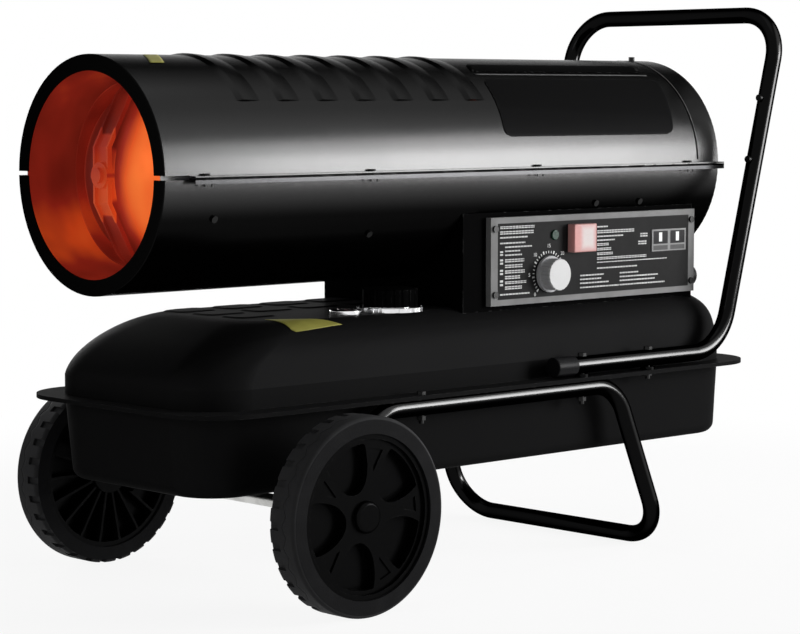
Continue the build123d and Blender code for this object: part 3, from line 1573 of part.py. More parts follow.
hub_outer = axle_end - collar_thickness - body_gap
with BuildPart() as axle_collars:
    for side in (-1, 1):
        for start in (hub_inner - body_gap - collar_thickness, hub_outer + body_gap):
            with BuildSketch(Plane.XZ.offset(side * start)):
                with Locations((axle_x, wheel_radius)):
                    Circle(axle_collar_radius)
                    Circle(axle_radius + running_clearance, mode=Mode.SUBTRACT)
            extrude(amount=side * collar_thickness)
write_piece(axle_collars, "axle_collars")


# Wheels: blocky tyre, rim with a closed web and teardrop recesses between its spokes, and a domed hub cap
with BuildSketch() as wheel_window:
    with Locations((window_outer_radius, 0)):
        Ellipse(window_outer_radius - window_inner_radius, window_half_width)
    Circle(window_outer_radius, mode=Mode.INTERSECT)
    fillet(wheel_window.vertices(), window_corner)

with BuildSketch() as spoke_pocket:
    Polygon(
        (spoke_pocket_inner, 0),
        (spoke_pocket_outer, -spoke_pocket_half_width),
        (spoke_pocket_outer, spoke_pocket_half_width),
        align=None,
    )


def make_wheel(name, side):
    wheel_width = wheel_outer - wheel_inner
    with BuildPart() as tyre:
        with BuildSketch(Plane.XZ.offset(side * wheel_inner)):
            with Locations((axle_x, wheel_radius)):
                Circle(wheel_radius)
        extrude(amount=side * wheel_width)
        fillet(tyre.edges(), tyre_rounding)
        with BuildSketch(Plane.XZ.offset(side * (wheel_inner - overrun))):
            with Locations((axle_x, wheel_radius)):
                Circle(rim_radius)
        extrude(amount=side * (wheel_width + 2 * overrun), mode=Mode.SUBTRACT)
        with BuildSketch(Plane.XZ.offset(side * (wheel_inner - overrun))):
            with Locations((axle_x, wheel_radius)):
                with PolarLocations(wheel_radius, tread_count, start_angle=90 + 180 / tread_count):
                    Rectangle(2 * tread_depth, tread_notch)
        extrude(amount=side * (tread_length + overrun), mode=Mode.SUBTRACT)
    write_piece(tyre, f"{name}_tyre")

    web_start = wheel_outer - web_inset - web_thickness
    with BuildPart() as rim:
        with BuildSketch(Plane.XZ.offset(side * (wheel_inner + rim_inset))):
            with Locations((axle_x, wheel_radius)):
                Circle(rim_radius - running_clearance)
                Circle(rim_radius - rim_wall, mode=Mode.SUBTRACT)
        extrude(amount=side * (wheel_width - 2 * rim_inset))
        with BuildSketch(Plane.XZ.offset(side * web_start)):
            with Locations((axle_x, wheel_radius)):
                Circle(rim_radius - rim_wall)
        extrude(amount=side * web_thickness)
        with BuildSketch(Plane.XZ.offset(side * (wheel_inner + rim_inset))):
            with Locations((axle_x, wheel_radius)):
                with PolarLocations((rim_radius + wheel_hub_radius - rim_wall) / 2, rim_rib_count):
                    Rectangle(rim_radius - wheel_hub_radius, rim_rib_width)
        extrude(amount=side * (web_start - wheel_inner - rim_inset))
        with BuildSketch(Plane.XZ.offset(side * (web_start + window_floor))):
            with Locations((axle_x, wheel_radius)):
                with PolarLocations(0, spoke_count, start_angle=spoke_turn):
                    add(wheel_window.sketch)
        extrude(amount=side * web_thickness, mode=Mode.SUBTRACT)
        with BuildSketch(Plane.XZ.offset(side * (wheel_outer - web_inset - spoke_pocket_depth))):
            with Locations((axle_x, wheel_radius)):
                with PolarLocations(0, spoke_count, start_angle=spoke_turn + 180 / spoke_count):
                    add(spoke_pocket.sketch)
        extrude(amount=side * overrun, mode=Mode.SUBTRACT)
        with BuildSketch(Plane.XZ.offset(side * wheel_inner)):
            with Locations((axle_x, wheel_radius)):
                Circle(wheel_hub_radius + rim_wall)
        extrude(amount=side * (cap_seat - wheel_inner))
        with BuildSketch(Plane.XZ.offset(side * cap_seat)):
            with Locations((axle_x, wheel_radius)):
                Circle(cap_dome_radius + body_gap)
        extrude(amount=side * wheel_width, mode=Mode.SUBTRACT)
        with BuildSketch(Plane.XZ.offset(side * hub_outer)):
            with Locations((axle_x, wheel_radius)):
                Circle(axle_collar_radius + body_gap)
        extrude(amount=side * wheel_width, mode=Mode.SUBTRACT)
        with BuildSketch(Plane.XZ.offset(side * (wheel_inner - overrun))):
            with Locations((axle_x, wheel_radius)):
                Circle(axle_radius + running_clearance)
        extrude(amount=side * (wheel_width + 2 * overrun), mode=Mode.SUBTRACT)
    write_piece(rim, f"{name}_rim")

    with BuildPart() as hub_cap:
        with BuildSketch(Plane.XZ.offset(side * cap_seat)):
            with Locations((axle_x, wheel_radius)):
                Circle(cap_dome_radius)
        extrude(amount=side * cap_dome_depth)
        fillet(hub_cap.edges().group_by(Axis.Y)[0 if side > 0 else -1], cap_dome_depth / 2)
    write_piece(hub_cap, f"{name}_hub_cap")


make_wheel("near", 1)
make_wheel("far", -1)
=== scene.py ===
import bpy
import bmesh
from math import cos, sin, pi, radians, sqrt
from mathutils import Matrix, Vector
from mathutils.bvhtree import BVHTree


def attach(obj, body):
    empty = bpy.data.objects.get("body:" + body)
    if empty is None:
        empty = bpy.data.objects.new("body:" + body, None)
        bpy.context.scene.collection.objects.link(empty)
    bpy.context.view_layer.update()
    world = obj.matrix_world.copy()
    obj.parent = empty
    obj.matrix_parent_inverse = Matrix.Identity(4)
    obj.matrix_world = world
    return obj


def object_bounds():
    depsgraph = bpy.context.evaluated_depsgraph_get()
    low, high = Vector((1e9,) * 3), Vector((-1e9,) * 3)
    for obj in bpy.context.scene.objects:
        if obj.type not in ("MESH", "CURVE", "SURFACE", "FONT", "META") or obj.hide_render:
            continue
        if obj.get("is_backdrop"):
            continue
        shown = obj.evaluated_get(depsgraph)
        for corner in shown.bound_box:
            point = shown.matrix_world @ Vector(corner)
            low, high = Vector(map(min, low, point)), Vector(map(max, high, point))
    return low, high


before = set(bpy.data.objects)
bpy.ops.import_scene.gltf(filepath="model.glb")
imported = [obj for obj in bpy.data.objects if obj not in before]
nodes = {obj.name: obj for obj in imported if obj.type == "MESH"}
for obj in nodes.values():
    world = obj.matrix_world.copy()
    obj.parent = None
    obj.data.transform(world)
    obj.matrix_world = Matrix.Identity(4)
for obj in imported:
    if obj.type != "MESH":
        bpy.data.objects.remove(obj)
cadLow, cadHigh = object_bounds()
print("frame loaded:", len(nodes), "nodes")

# where things are, in metres, in the model's own frame
barrel = dict(front=-0.515, height=0.4985, radius=0.138)
panel = dict(face=-0.137, left=-0.003, right=0.385, low=0.328, high=0.438)
wheel = dict(x=-0.323, z=0.1152, radius=0.1152)


def grey(tone):
    return (tone, tone, tone)


# shader helpers
class Wire:
    # a node's output that can stand in sums
    def __init__(self, shading, socket):
        self.shading = shading
        self.socket = socket

    def maths(self, operation, first, second=None, clamp=False):
        inputs = {0: first} if second is None else {0: first, 1: second}
        return self.shading.node("ShaderNodeMath", {"operation": operation, "use_clamp": clamp}, inputs)

    def __add__(self, other):
        return self.maths("ADD", self, other)

    def __radd__(self, other):
        return self.maths("ADD", other, self)

    def __sub__(self, other):
        return self.maths("SUBTRACT", self, other)

    def __rsub__(self, other):
        return self.maths("SUBTRACT", other, self)

    def __mul__(self, other):
        return self.maths("MULTIPLY", self, other)

    def __rmul__(self, other):
        return self.maths("MULTIPLY", other, self)

    def __pow__(self, other):
        return self.maths("POWER", self, other)

    def __gt__(self, other):
        return self.maths("GREATER_THAN", self, other)

    def __lt__(self, other):
        return self.maths("LESS_THAN", self, other)

    def clamped(self):
        return self.maths("ADD", self, 0.0, clamp=True)

    def least(self, other):
        return self.maths("MINIMUM", self, other)

    def most(self, other):
        return self.maths("MAXIMUM", self, other)

    def size(self):
        return self.maths("ABSOLUTE", self)

    def ramp(self, low, high):
        # 0 below low, 1 above high, smooth between
        return self.shading.node(
            "ShaderNodeMapRange",
            {"interpolation_type": "SMOOTHSTEP", "clamp": True},
            {"Value": self, "From Min": low, "From Max": high, "To Min": 0.0, "To Max": 1.0},
        )


class Shading:
    # a node tree, and the one method that adds nodes to it
    def __init__(self, tree):
        self.tree = tree
        self.tree.nodes.clear()

    def feed(self, node, inputs):
        for key, value in inputs.items():
            socket = node.inputs[key]
            if isinstance(value, Wire):
                self.tree.links.new(value.socket, socket)
            elif isinstance(value, (tuple, list)) and len(value) == 3 and socket.type == "RGBA":
                socket.default_value = (*value, 1.0)
            else:
                socket.default_value = value

    def node(self, kind, settings=None, inputs=None, output=0):
        made = self.tree.nodes.new(kind)
        for key, value in (settings or {}).items():
            if key == "stops":
                stops = made.color_ramp.elements
                while len(stops) < len(value):
                    stops.new(0.5)
                for stop, (place, colour) in zip(stops, value):
                    stop.position = place
                    stop.color = (*colour, 1.0)
            else:
                setattr(made, key, value)
        self.feed(made, inputs or {})
        return Wire(self, made.outputs[output])

    def shown(self):
        # 1 for rays from the camera and for those that metal and glass send on
        seen = self.node("ShaderNodeLightPath", output="Is Camera Ray")
        for kind in ("Is Glossy Ray", "Is Transmission Ray"):
            seen = seen.most(self.node("ShaderNodeLightPath", output=kind))
        return seen

    def mixed(self, factor, first, second):
        return self.node("ShaderNodeMixShader", {}, {0: factor, 1: first, 2: second})


class Finish(Shading):
    # one material: a Principled shader and the nodes that feed it
    def __init__(self, name, **constants):
        self.material = bpy.data.materials.new(name)
        self.material.use_nodes = True
        super().__init__(self.material.node_tree)
        self.shader = self.tree.nodes.new("ShaderNodeBsdfPrincipled")
        self.output = self.tree.nodes.new("ShaderNodeOutputMaterial")
        self.feed(self.output, {"Surface": Wire(self, self.shader.outputs[0])})
        self.feed(self.shader, {key.replace("_", " "): value for key, value in constants.items()})

    def place(self):
        return self.node("ShaderNodeTexCoord", output="Object")

    def part(self, vector, axis):
        return self.node("ShaderNodeSeparateXYZ", {}, {0: vector}, output=axis)

    def axes(self):
        place = self.place()
        return [self.part(place, axis) for axis in range(3)]

    def facing(self):
        return self.node("ShaderNodeNewGeometry", output="Normal")

    def alike(self, first, second):
        # 1 where two directions are the same
        return self.node(
            "ShaderNodeVectorMath", {"operation": "DOT_PRODUCT"}, {0: first, 1: second}, output="Value"
        )

    def noise(self, scale, detail=3.0, roughness=0.5, where=None):
        inputs = {"Vector": where or self.place(), "Scale": scale, "Detail": detail, "Roughness": roughness}
        return self.node("ShaderNodeTexNoise", {}, inputs)

    def stretched(self, x, y, z):
        return self.node("ShaderNodeVectorMath", {"operation": "MULTIPLY"}, {0: self.place(), 1: (x, y, z)})

    def blend(self, factor, first, second):
        return self.node("ShaderNodeMix", {"data_type": "RGBA"}, {0: factor, 6: first, 7: second}, output=2)

    def colour(self, value):
        self.tone = value
        self.feed(self.shader, {"Base Color": value})

    def rough(self, value):
        self.feed(self.shader, {"Roughness": value})

    def bump(self, height, distance, strength=1.0):
        inputs = {"Height": height, "Distance": distance, "Strength": strength}
        self.feed(self.shader, {"Normal": self.node("ShaderNodeBump", {}, inputs)})

    def wear(self, radius):
        # bright where an edge turns sharply
        bevel = self.node("ShaderNodeBevel", {"samples": 4}, {"Radius": radius})
        return (1 - self.alike(bevel, self.facing())).ramp(0.02, 0.22)


# mesh helpers
def newPiece(name, verts, faces, body, finish, smooth=True):
    mesh = bpy.data.meshes.new(name)
    mesh.from_pydata([tuple(v) for v in verts], [], faces)
    mesh.validate()
    piece = bpy.data.objects.new(name, mesh)
    bpy.context.scene.collection.objects.link(piece)
    for face in mesh.polygons:
        face.use_smooth = smooth
    mesh.materials.append(finish.material)
    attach(piece, body)
    return piece


def thicken(piece, thickness, bevel=0.0, offset=1.0):
    solid = piece.modifiers.new("thickness", "SOLIDIFY")
    solid.thickness = thickness
    solid.offset = offset
    if bevel:
        rounding = piece.modifiers.new("edge", "BEVEL")
        rounding.width = bevel
        rounding.segments = 2
        rounding.limit_method = "ANGLE"


def gridPiece(name, across, along, point, body, finish):
    # a sheet of across by along cells; point(u, v) gives each corner
    verts = []
    for j in range(along + 1):
        for i in range(across + 1):
            verts.append(point(i / across, j / along))
    faces = []
    for j in range(along):
        for i in range(across):
            first = j * (across + 1) + i
            faces.append((first, first + 1, first + across + 2, first + across + 1))
    piece = newPiece(name, verts, faces, body, finish)
    mesh = bmesh.new()
    mesh.from_mesh(piece.data)
    bmesh.ops.recalc_face_normals(mesh, faces=mesh.faces)
    mesh.to_mesh(piece.data)
    mesh.free()
    return piece


done = set()


def paint(finish, *names):
    for name in names:
        data = nodes[name].data
        data.materials.clear()
        data.materials.append(finish.material)
        done.add(name)


# black lacquer: sheen is its share of mirror-like reflection, and a dark rim keeps that weak where a surface
# turns away
lacquer = dict(ior=1.02, grain=0.00025, edge=0.0015, rim=0.12, chipScale=160.0, chipFrom=0.56, worn=grey(0.06))


def lacquerCoat(name, sheen, gloss, grain=lacquer["grain"], rim=lacquer["rim"]):
    coat = Finish(name, Metallic=sheen, IOR=lacquer["ior"], Specular_Tint=grey(rim))
    cloudy = coat.noise(7.0, 4.0)
    speckle = coat.noise(900.0, 2.0)
    coat.rough(gloss + cloudy * 0.10 + speckle * 0.05)
    coat.bump(speckle, grain, 0.35)
    return coat


def blackLacquer(name, black, sheen, gloss, grain=lacquer["grain"], edge=lacquer["edge"]):
    # with small chips along the edges
    coat = lacquerCoat(name, sheen, gloss, grain)
    chips = (coat.noise(lacquer["chipScale"], 3.0) > lacquer["chipFrom"]) * coat.wear(edge)
    coat.colour(coat.blend(chips * 0.4, (black, black, black * 1.02), lacquer["worn"]))
    return coat


tankPaint = blackLacquer("blackTankPaint", 0.009, 0.14, 0.36)
housingPaint = blackLacquer("blackHousingPaint", 0.002, 0.3, 0.35)
rimPlastic = blackLacquer("rimPlastic", 0.006, 0.6, 0.14, 0.0003, 0.0008)
capPlastic = blackLacquer("capPlastic", 0.002, 0.3, 0.3)
plateFinish = blackLacquer("namePlateFace", 0.009, 0.25, 0.3, 0.0001)
paint(housingPaint, "lower_housing")
paint(tankPaint, "tank_upper", "tank_lower")
paint(rimPlastic, "near_rim", "far_rim", "near_hub_cap", "far_hub_cap")
paint(capPlastic, "filler_cap")

# bent tube: near black, with a painted highlight along the side that faces the panel's side (-Y) and a little up
tube = dict(toward=(-0.05, -0.92, 0.38), begins=0.86, full=0.97, paintedHighlight=grey(0.038))
tubePaint = blackLacquer("blackTubePaint", 0.005, 0.95, 0.07, 0.0001)
paintedHighlight = tubePaint.alike(tubePaint.facing(), tube["toward"]).ramp(tube["begins"], tube["full"])
tubePaint.colour(tubePaint.blend(paintedHighlight, tubePaint.tone, tube["paintedHighlight"]))
paint(tubePaint, "handle", "stand", "handle_spacers", "motor_bracket", "rear_guard")

# barrel casing: lighter along the flank as a painted highlight, with painted shade on the beads' steep sides and
# on its front end
casing = dict(
    sheen=0.92, gloss=0.15, rim=0.36, frontFace=barrel["front"] + 0.0012,
    bellyTo=(0.448, 0.488), crownFrom=(0.543, 0.578), steepFrom=(0.08, 0.2),
    crown=grey(0.03), paintedFlankHighlight=grey(0.045), paintedBellyShade=grey(0.005), end=grey(0.004), paintedSteepShade=grey(0.013),
)
upperPaint = lacquerCoat("blackPowderCoat", casing["sheen"], casing["gloss"], rim=casing["rim"])
x, y, z = upperPaint.axes()
upperTone = upperPaint.blend(z.ramp(*casing["crownFrom"]), casing["paintedFlankHighlight"], casing["crown"])
# painted shade on the beads' steep sides, those facing the front
paintedSteepShade = (upperPaint.part(upperPaint.facing(), 0) * -1).ramp(*casing["steepFrom"])  # the beads' steep sides
upperTone = upperPaint.blend(paintedSteepShade, upperTone, casing["paintedSteepShade"])
# painted shade on the front end face
upperPaint.colour(upperPaint.blend(x < casing["frontFace"], upperTone, casing["end"]))
paint(upperPaint, "upper_shell")

# the seam's hem is brighter than the sheet as a painted highlight, under a black joint line
seam = dict(low=0.4911, high=0.4958, reach=0.1455, bright=(0.032, 0.032, 0.033), joint=grey(0.001))
lowerPaint = lacquerCoat("lowerShellPaint", casing["sheen"], casing["gloss"], rim=casing["rim"])
x, y, z = lowerPaint.axes()
hem = (y.size() > seam["reach"]) * (z > seam["low"]) * (0.75 + lowerPaint.noise(60.0) * 0.5)
# painted highlight on the hem's lower part, under the black joint
hemTone = lowerPaint.blend(z > seam["high"], seam["bright"], seam["joint"])
# painted shade: the sheet darker towards the belly, lighter towards the flank
sheetTone = lowerPaint.blend(z.ramp(*casing["bellyTo"]), casing["paintedBellyShade"], casing["paintedFlankHighlight"])
# painted shade on the front end face
sheetTone = lowerPaint.blend(x < casing["frontFace"], sheetTone, casing["end"])
lowerPaint.colour(lowerPaint.blend(hem.clamped(), sheetTone, hemTone))
paint(lowerPaint, "lower_shell")


def bareMetal(name, colour, roughness, scratch=0.12, dark=0.6):
    metal = Finish(name, Metallic=1.0)
    stains = metal.noise(45.0, 4.0)
    fine = metal.noise(400.0, 3.0, where=metal.stretched(1, 1, 6))
    shade = tuple(c * dark for c in colour)
    metal.colour(metal.blend(stains.ramp(0.35, 0.7) * 0.7, colour, shade))
    metal.rough(roughness + fine * scratch)
    metal.bump(fine, 0.0001, 0.3)
    return metal


zinc = bareMetal("zincPlate", (0.62, 0.62, 0.6), 0.26)
darkBolt = bareMetal("blackenedBolts", grey(0.022), 0.3)
chrome = bareMetal("polishedSteel", (0.85, 0.85, 0.86), 0.09, 0.06, 0.8)
castMetal = bareMetal("castAluminium", (0.4, 0.405, 0.41), 0.42, 0.15)
brass = bareMetal("brass", (0.7, 0.5, 0.2), 0.3)
paint(zinc, "chamber_brackets", "motor_shaft", "axle", "axle_collars", "drain_plug")
paint(darkBolt, "casing_screws", "frame_bolts", "frame_nuts", "seam_clips")
paint(chrome, "filler_collar", "gauge_body")
paint(castMetal, "fan", "pump_body", "pump_rotor", "pump_cover")
paint(brass, "spray_nozzle", "fuel_line")

# hot parts: a heat tint with a painted glow, and painted light from the flame's side
hot = dict(
    metallic=0.25,
    stops=[
        (0.0, (0.12, 0.010, 0.006)), (0.35, (0.34, 0.028, 0.014)),
        (0.62, (0.72, 0.10, 0.018)), (1.0, (0.95, 0.22, 0.04)),
    ],
)


def hotMetal(name, glow, shift, emission):
    metal = Finish(name, Metallic=hot["metallic"], Specular_IOR_Level=0.08, Emission_Strength=emission)
    waves = metal.noise(16.0, 2.0, where=metal.stretched(1.0, 1.0, 0.55))
    # the level of the painted glow, which sets both colour and emission
    paintedGlowLevel = glow(*metal.axes()) + (waves - 0.5) * 0.75 + shift
    metal.colour(metal.node("ShaderNodeValToRGB", {"stops": hot["stops"]}, {0: paintedGlowLevel}))
    metal.feed(metal.shader, {"Emission Color": metal.tone})
    metal.rough(0.36 + metal.noise(70.0) * 0.16)
    metal.bump(metal.noise(30.0, 2.0), 0.0012, 0.4)
    return metal


# each pair is where a patch begins and where it is full
dome = dict(
    near=(0.012, 0.05), shadeBegins=(0.013, 0.018), shadeEnds=(0.04, 0.07), patchSide=(0.05, 0.085),
    patchLow=(-0.02, 0.06), strapEdge=(0.0145, 0.0155), strapFace=(-0.488, -0.486),
)


def domeGlow(x, y, z):
    # painted glow: bright on the near flank as painted light, painted shade across the far one, with a warm patch
    # of painted light low on it
    near = (y * -1).ramp(*dome["near"])
    shade = y.ramp(*dome["shadeBegins"]) * (1 - y.ramp(*dome["shadeEnds"])) * 0.3
    patch = y.ramp(*dome["patchSide"]) * (0.5 - z).ramp(*dome["patchLow"]) * 0.6
    strap = (1 - y.size().ramp(*dome["strapEdge"])) * (1 - x.ramp(*dome["strapFace"]))
    return near * 0.72 + strap * 0.32 + patch - shade + 0.12


def linerGlow(x, y, z):
    # painted glow: painted light on the near side and low on the far side
    near = (y * -1).ramp(0.0, 0.1)
    low = (0.47 - z).ramp(-0.02, 0.05) * y.ramp(0.05, 0.1)
    return near * 0.6 + low * 0.3 + 0.28


paint(hotMetal("glowingBaffle", domeGlow, 0.0, 0.42), "flame_baffle")
paint(hotMetal("glowingDrum", linerGlow, -0.1, 0.3), "combustion_chamber", "burner_head")

# the liner glows inside and is bare sheet outside
liner = dict(outside=(0.1252, 0.1256), sheet=(0.85, 0.85, 0.84))
linerFinish = hotMetal("glowingLiner", linerGlow, 0.0, 0.32)
x, y, z = linerFinish.axes()
rise = z - barrel["height"]
outside = ((y * y + rise * rise) ** 0.5).ramp(*liner["outside"])
glowTone = linerFinish.tone
linerFinish.colour(linerFinish.blend(outside, glowTone, liner["sheet"]))
linerFinish.feed(linerFinish.shader, {
    "Emission Color": linerFinish.blend(outside, glowTone, grey(0.0)),
    "Metallic": hot["metallic"] - outside * hot["metallic"],
})
paint(linerFinish, "heat_shield")
print("metal painted")


def plastic(name, colour, roughness, specular=0.15):
    made = Finish(name, Specular_IOR_Level=specular)
    cloudy = made.noise(20.0, 3.0)
    fine = made.noise(700.0, 2.0)
    lighter = tuple(min(1.0, c * 1.35 + 0.004) for c in colour)
    made.colour(made.blend(cloudy.ramp(0.35, 0.75) * 0.6, colour, lighter))
    made.rough(roughness + fine * 0.12)
    made.bump(fine, 0.0002, 0.4)
    return made


# plastics, rubber and ceramic: colour, roughness, gloss, and the nodes that have them
mouldings = dict(
    blackMouldedPlastic=(
        (0.004, 0.004, 0.0045), 0.3, 0.05, ["switch_body", "thermostat_body", "cable_gland", "handle_end_caps"],
    ),
    circuitBoard=((0.015, 0.1, 0.04), 0.4, 0.15, ["control_board"]),
    castResin=((0.03, 0.03, 0.035), 0.5, 0.15, ["ignition_transformer"]),
    glazedCeramic=((0.8, 0.79, 0.74), 0.18, 0.15, ["igniter", "flame_sensor"]),
    floatFoam=((0.6, 0.5, 0.2), 0.7, 0.15, ["gauge_float"]),
    strainerNylon=((0.7, 0.68, 0.6), 0.5, 0.15, ["filler_strainer"]),
    redSwitch=((0.8, 0.16, 0.14), 0.2, 0.15, ["power_rocker"]),
    darkGreenLens=((0.01, 0.035, 0.022), 0.12, 0.08, ["status_lamp"]),
    needleRed=((0.6, 0.03, 0.02), 0.35, 0.15, ["gauge_needle"]),
    rubberHose=((0.01, 0.01, 0.01), 0.6, 0.15, ["air_line", "cap_seal"]),
    motorEnamel=((0.03, 0.03, 0.032), 0.4, 0.15, ["motor_case"]),
)
for name, (colour, roughness, specular, pieces) in mouldings.items():
    paint(plastic(name, colour, roughness, specular), *pieces)

# tyre: matt rubber with a zigzag groove round the tread, the tread lighter than the wall, with lighter patches
# mostly on the tread
tyre = dict(
    zigzag=pi / 30, line=0.2475, swing=0.055, groove=(0.0006, 0.0016), treadDepth=0.004,
    wall=(0.0045, 0.0045, 0.005), block=(0.024, 0.024, 0.025), lighterPatches=(0.03, 0.03, 0.031),
)
rubber = Finish("tyreRubber", Specular_IOR_Level=0.05)
x, y, z = rubber.axes()
run, rise = x - wheel["x"], z - wheel["z"]
angle = rise.maths("ARCTAN2", rise, run)
saw = angle.maths("PINGPONG", angle, tyre["zigzag"])
centre = y.size() - tyre["line"] - (saw - tyre["zigzag"] / 2) * tyre["swing"]
groove = 1 - centre.size().ramp(*tyre["groove"])
tread = run * run + rise * rise > (wheel["radius"] - tyre["treadDepth"]) ** 2
# lighter patches, weak on the wall and mostly on the tread
lighterPatches = rubber.noise(30.0, 4.0).ramp(0.4, 0.75) * (0.12 + tread * 0.88)
rubber.colour(rubber.blend(lighterPatches, rubber.blend(tread, tyre["wall"], tyre["block"]), tyre["lighterPatches"]))
rubber.rough(0.56 + rubber.noise(500.0) * 0.2)
rubber.bump(rubber.noise(500.0) * 0.15 - groove * tread, 0.0016, 0.9)
paint(rubber, "near_tyre", "far_tyre")

# gauge glass
clear = Finish("clearCover", Transmission_Weight=1.0, IOR=1.45)
clear.colour(clear.blend(clear.noise(25.0) * 0.3, (1.0, 0.96, 0.96), (0.97, 0.9, 0.9)))
clear.rough(0.04 + clear.noise(300.0) * 0.05)
paint(clear, "gauge_lens")

# the switch's splash cover is milky, its pale tone partly a painted reflection, with the pink of the paddle behind
# it painted on its middle
cover = dict(alpha=0.62, x=0.1606, z=0.4085, fade=(0.008, 0.02), paintedPaddlePink=(0.74, 0.38, 0.36), milkAndReflection=(0.78, 0.72, 0.71))
milky = Finish("milkyCover", Alpha=cover["alpha"], Specular_IOR_Level=0.12)
x, y, z = milky.axes()
# the paddle's pink, painted on the cover's middle
middle = 1 - ((x - cover["x"]).size() * 1.2).most((z - cover["z"]).size()).ramp(*cover["fade"])
milky.colour(milky.blend(middle * (0.7 + milky.noise(70.0) * 0.5), cover["paintedPaddlePink"], cover["milkAndReflection"]))
milky.rough(0.22 + milky.noise(300.0) * 0.1)
paint(milky, "rocker_cover")

# knob: grey flank, pale face
knob = dict(faceFrom=(0.0168, 0.0192), paintedFlankHighlight=(0.42, 0.42, 0.43), pale=grey(0.6), dull=grey(0.54))
knobFinish = Finish("paleKnob", Specular_IOR_Level=0.1)
x, y, z = knobFinish.axes()
face = (y * -1).ramp(*(depth - panel["face"] for depth in knob["faceFrom"]))
faceTone = knobFinish.blend(knobFinish.noise(60.0) * 0.4, knob["pale"], knob["dull"])
knobFinish.colour(knobFinish.blend(face, knob["paintedFlankHighlight"], faceTone))
knobFinish.rough(0.25 + knobFinish.noise(300.0) * 0.1)
paint(knobFinish, "thermostat_knob")


def within(value, low, high, soft=0.0004):
    # 1 between low and high, soft at both ends
    return value.ramp(low, low + soft) * (1 - value.ramp(high - soft, high))


# control panel: dark printed field inside a lighter metal border
border = dict(side=0.0075, end=0.012, soft=0.0004, clean=grey(0.25), dull=grey(0.15))
field = dict(clean=(0.010, 0.010, 0.0102), dull=grey(0.022))
panelFinish = Finish("panelFace", Specular_IOR_Level=0.02)
x, y, z = panelFinish.axes()
fromEnd = (x - panel["left"]).least(panel["right"] - x)
fromSide = (z - panel["low"]).least(panel["high"] - z)
inField = fromEnd.ramp(border["end"] - border["soft"], border["end"] + border["soft"])
inField = inField * fromSide.ramp(border["side"] - border["soft"], border["side"] + border["soft"])
grime = panelFinish.noise(40.0, 4.0)
borderTone = panelFinish.blend(grime, border["clean"], border["dull"])
fieldTone = panelFinish.blend(grime, field["clean"], field["dull"])
panelFinish.colour(panelFinish.blend(inField, borderTone, fieldTone))
panelFinish.rough(0.34 + grime * 0.12)
panelFinish.bump(panelFinish.noise(600.0), 0.0001, 0.3)
paint(panelFinish, "control_panel")

# display window: two dark cells in a grey frame, each with a pale shape, over a grey strip
display = dict(
    middle=0.332, cellAway=0.017, cellHalf=(0.0142, 0.0148), paleHalf=(0.0028, 0.0034),
    cellHeight=(0.3935, 0.4109), paleHeight=(0.3965, 0.4089), stripHeight=(0.3855, 0.3919),
    frame=grey(0.22), cell=(0.004, 0.004, 0.005), strip=grey(0.08), pale=grey(0.8),
)
displayFinish = Finish("displayFace", Specular_IOR_Level=0.04)
x, y, z = displayFinish.axes()
fromCell = ((x - display["middle"]).size() - display["cellAway"]).size()
beside = 1 - fromCell.ramp(*display["cellHalf"])
tone = displayFinish.blend(beside * within(z, *display["cellHeight"]), display["frame"], display["cell"])
tone = displayFinish.blend(beside * within(z, *display["stripHeight"]), tone, display["strip"])
pale = (1 - fromCell.ramp(*display["paleHalf"])) * within(z, *display["paleHeight"])
displayFinish.colour(displayFinish.blend(pale, tone, display["pale"]))
displayFinish.rough(0.14 + displayFinish.noise(90.0) * 0.1)
paint(displayFinish, "display_window")
print("nodes painted:", len(done), "left plain:", sorted(set(nodes) - done))

# printed marks on the panel: plain bars, a dial scale and its numbers
printGrey = plastic("printedGrey", grey(0.5), 0.5)
printPale = plastic("printedWhite", grey(0.6), 0.5)
marks = dict(
    face=panel["face"] - 0.0003, thickness=0.0003, stroke=0.0035, longer=0.0028, gap=0.0009, twoRowsFrom=0.0035,
    bars=[  # left, right, low, high
        (0.013, 0.075, 0.4235, 0.4275), (0.013, 0.073, 0.4165, 0.4215), (0.013, 0.062, 0.4115, 0.4145),
        (0.013, 0.058, 0.4045, 0.4075), (0.022, 0.07, 0.3995, 0.4025), (0.022, 0.05, 0.3945, 0.3975),
        (0.022, 0.052, 0.3895, 0.3925), (0.022, 0.056, 0.3815, 0.3865), (0.022, 0.053, 0.3745, 0.3795),
        (0.022, 0.057, 0.3675, 0.3725), (0.022, 0.05, 0.3605, 0.3655), (0.022, 0.06, 0.3545, 0.3585),
        (0.022, 0.052, 0.3475, 0.3525), (0.013, 0.066, 0.3405, 0.3435),
        (0.013, 0.0185, 0.390, 0.397), (0.013, 0.0185, 0.379, 0.387), (0.013, 0.0185, 0.366, 0.374),
        (0.013, 0.0185, 0.352, 0.361),
        (0.192, 0.212, 0.419, 0.422), (0.192, 0.264, 0.4115, 0.4165), (0.192, 0.242, 0.4065, 0.4095),
        (0.192, 0.226, 0.4015, 0.4045), (0.192, 0.214, 0.3955, 0.3995), (0.192, 0.219, 0.3895, 0.3935),
        (0.192, 0.222, 0.3835, 0.3875), (0.192, 0.288, 0.3775, 0.3815), (0.192, 0.33, 0.3735, 0.3755),
        (0.192, 0.27, 0.3655, 0.3685),
        (0.16, 0.205, 0.3575, 0.3605), (0.16, 0.2, 0.3525, 0.3555), (0.16, 0.215, 0.3475, 0.3505),
        (0.16, 0.234, 0.342, 0.345),
        (0.236, 0.272, 0.3575, 0.3605), (0.236, 0.312, 0.3525, 0.3555), (0.236, 0.305, 0.3475, 0.3505),
        (0.236, 0.325, 0.342, 0.345),
        (0.276, 0.29, 0.404, 0.41), (0.272, 0.288, 0.394, 0.4),
    ],
)


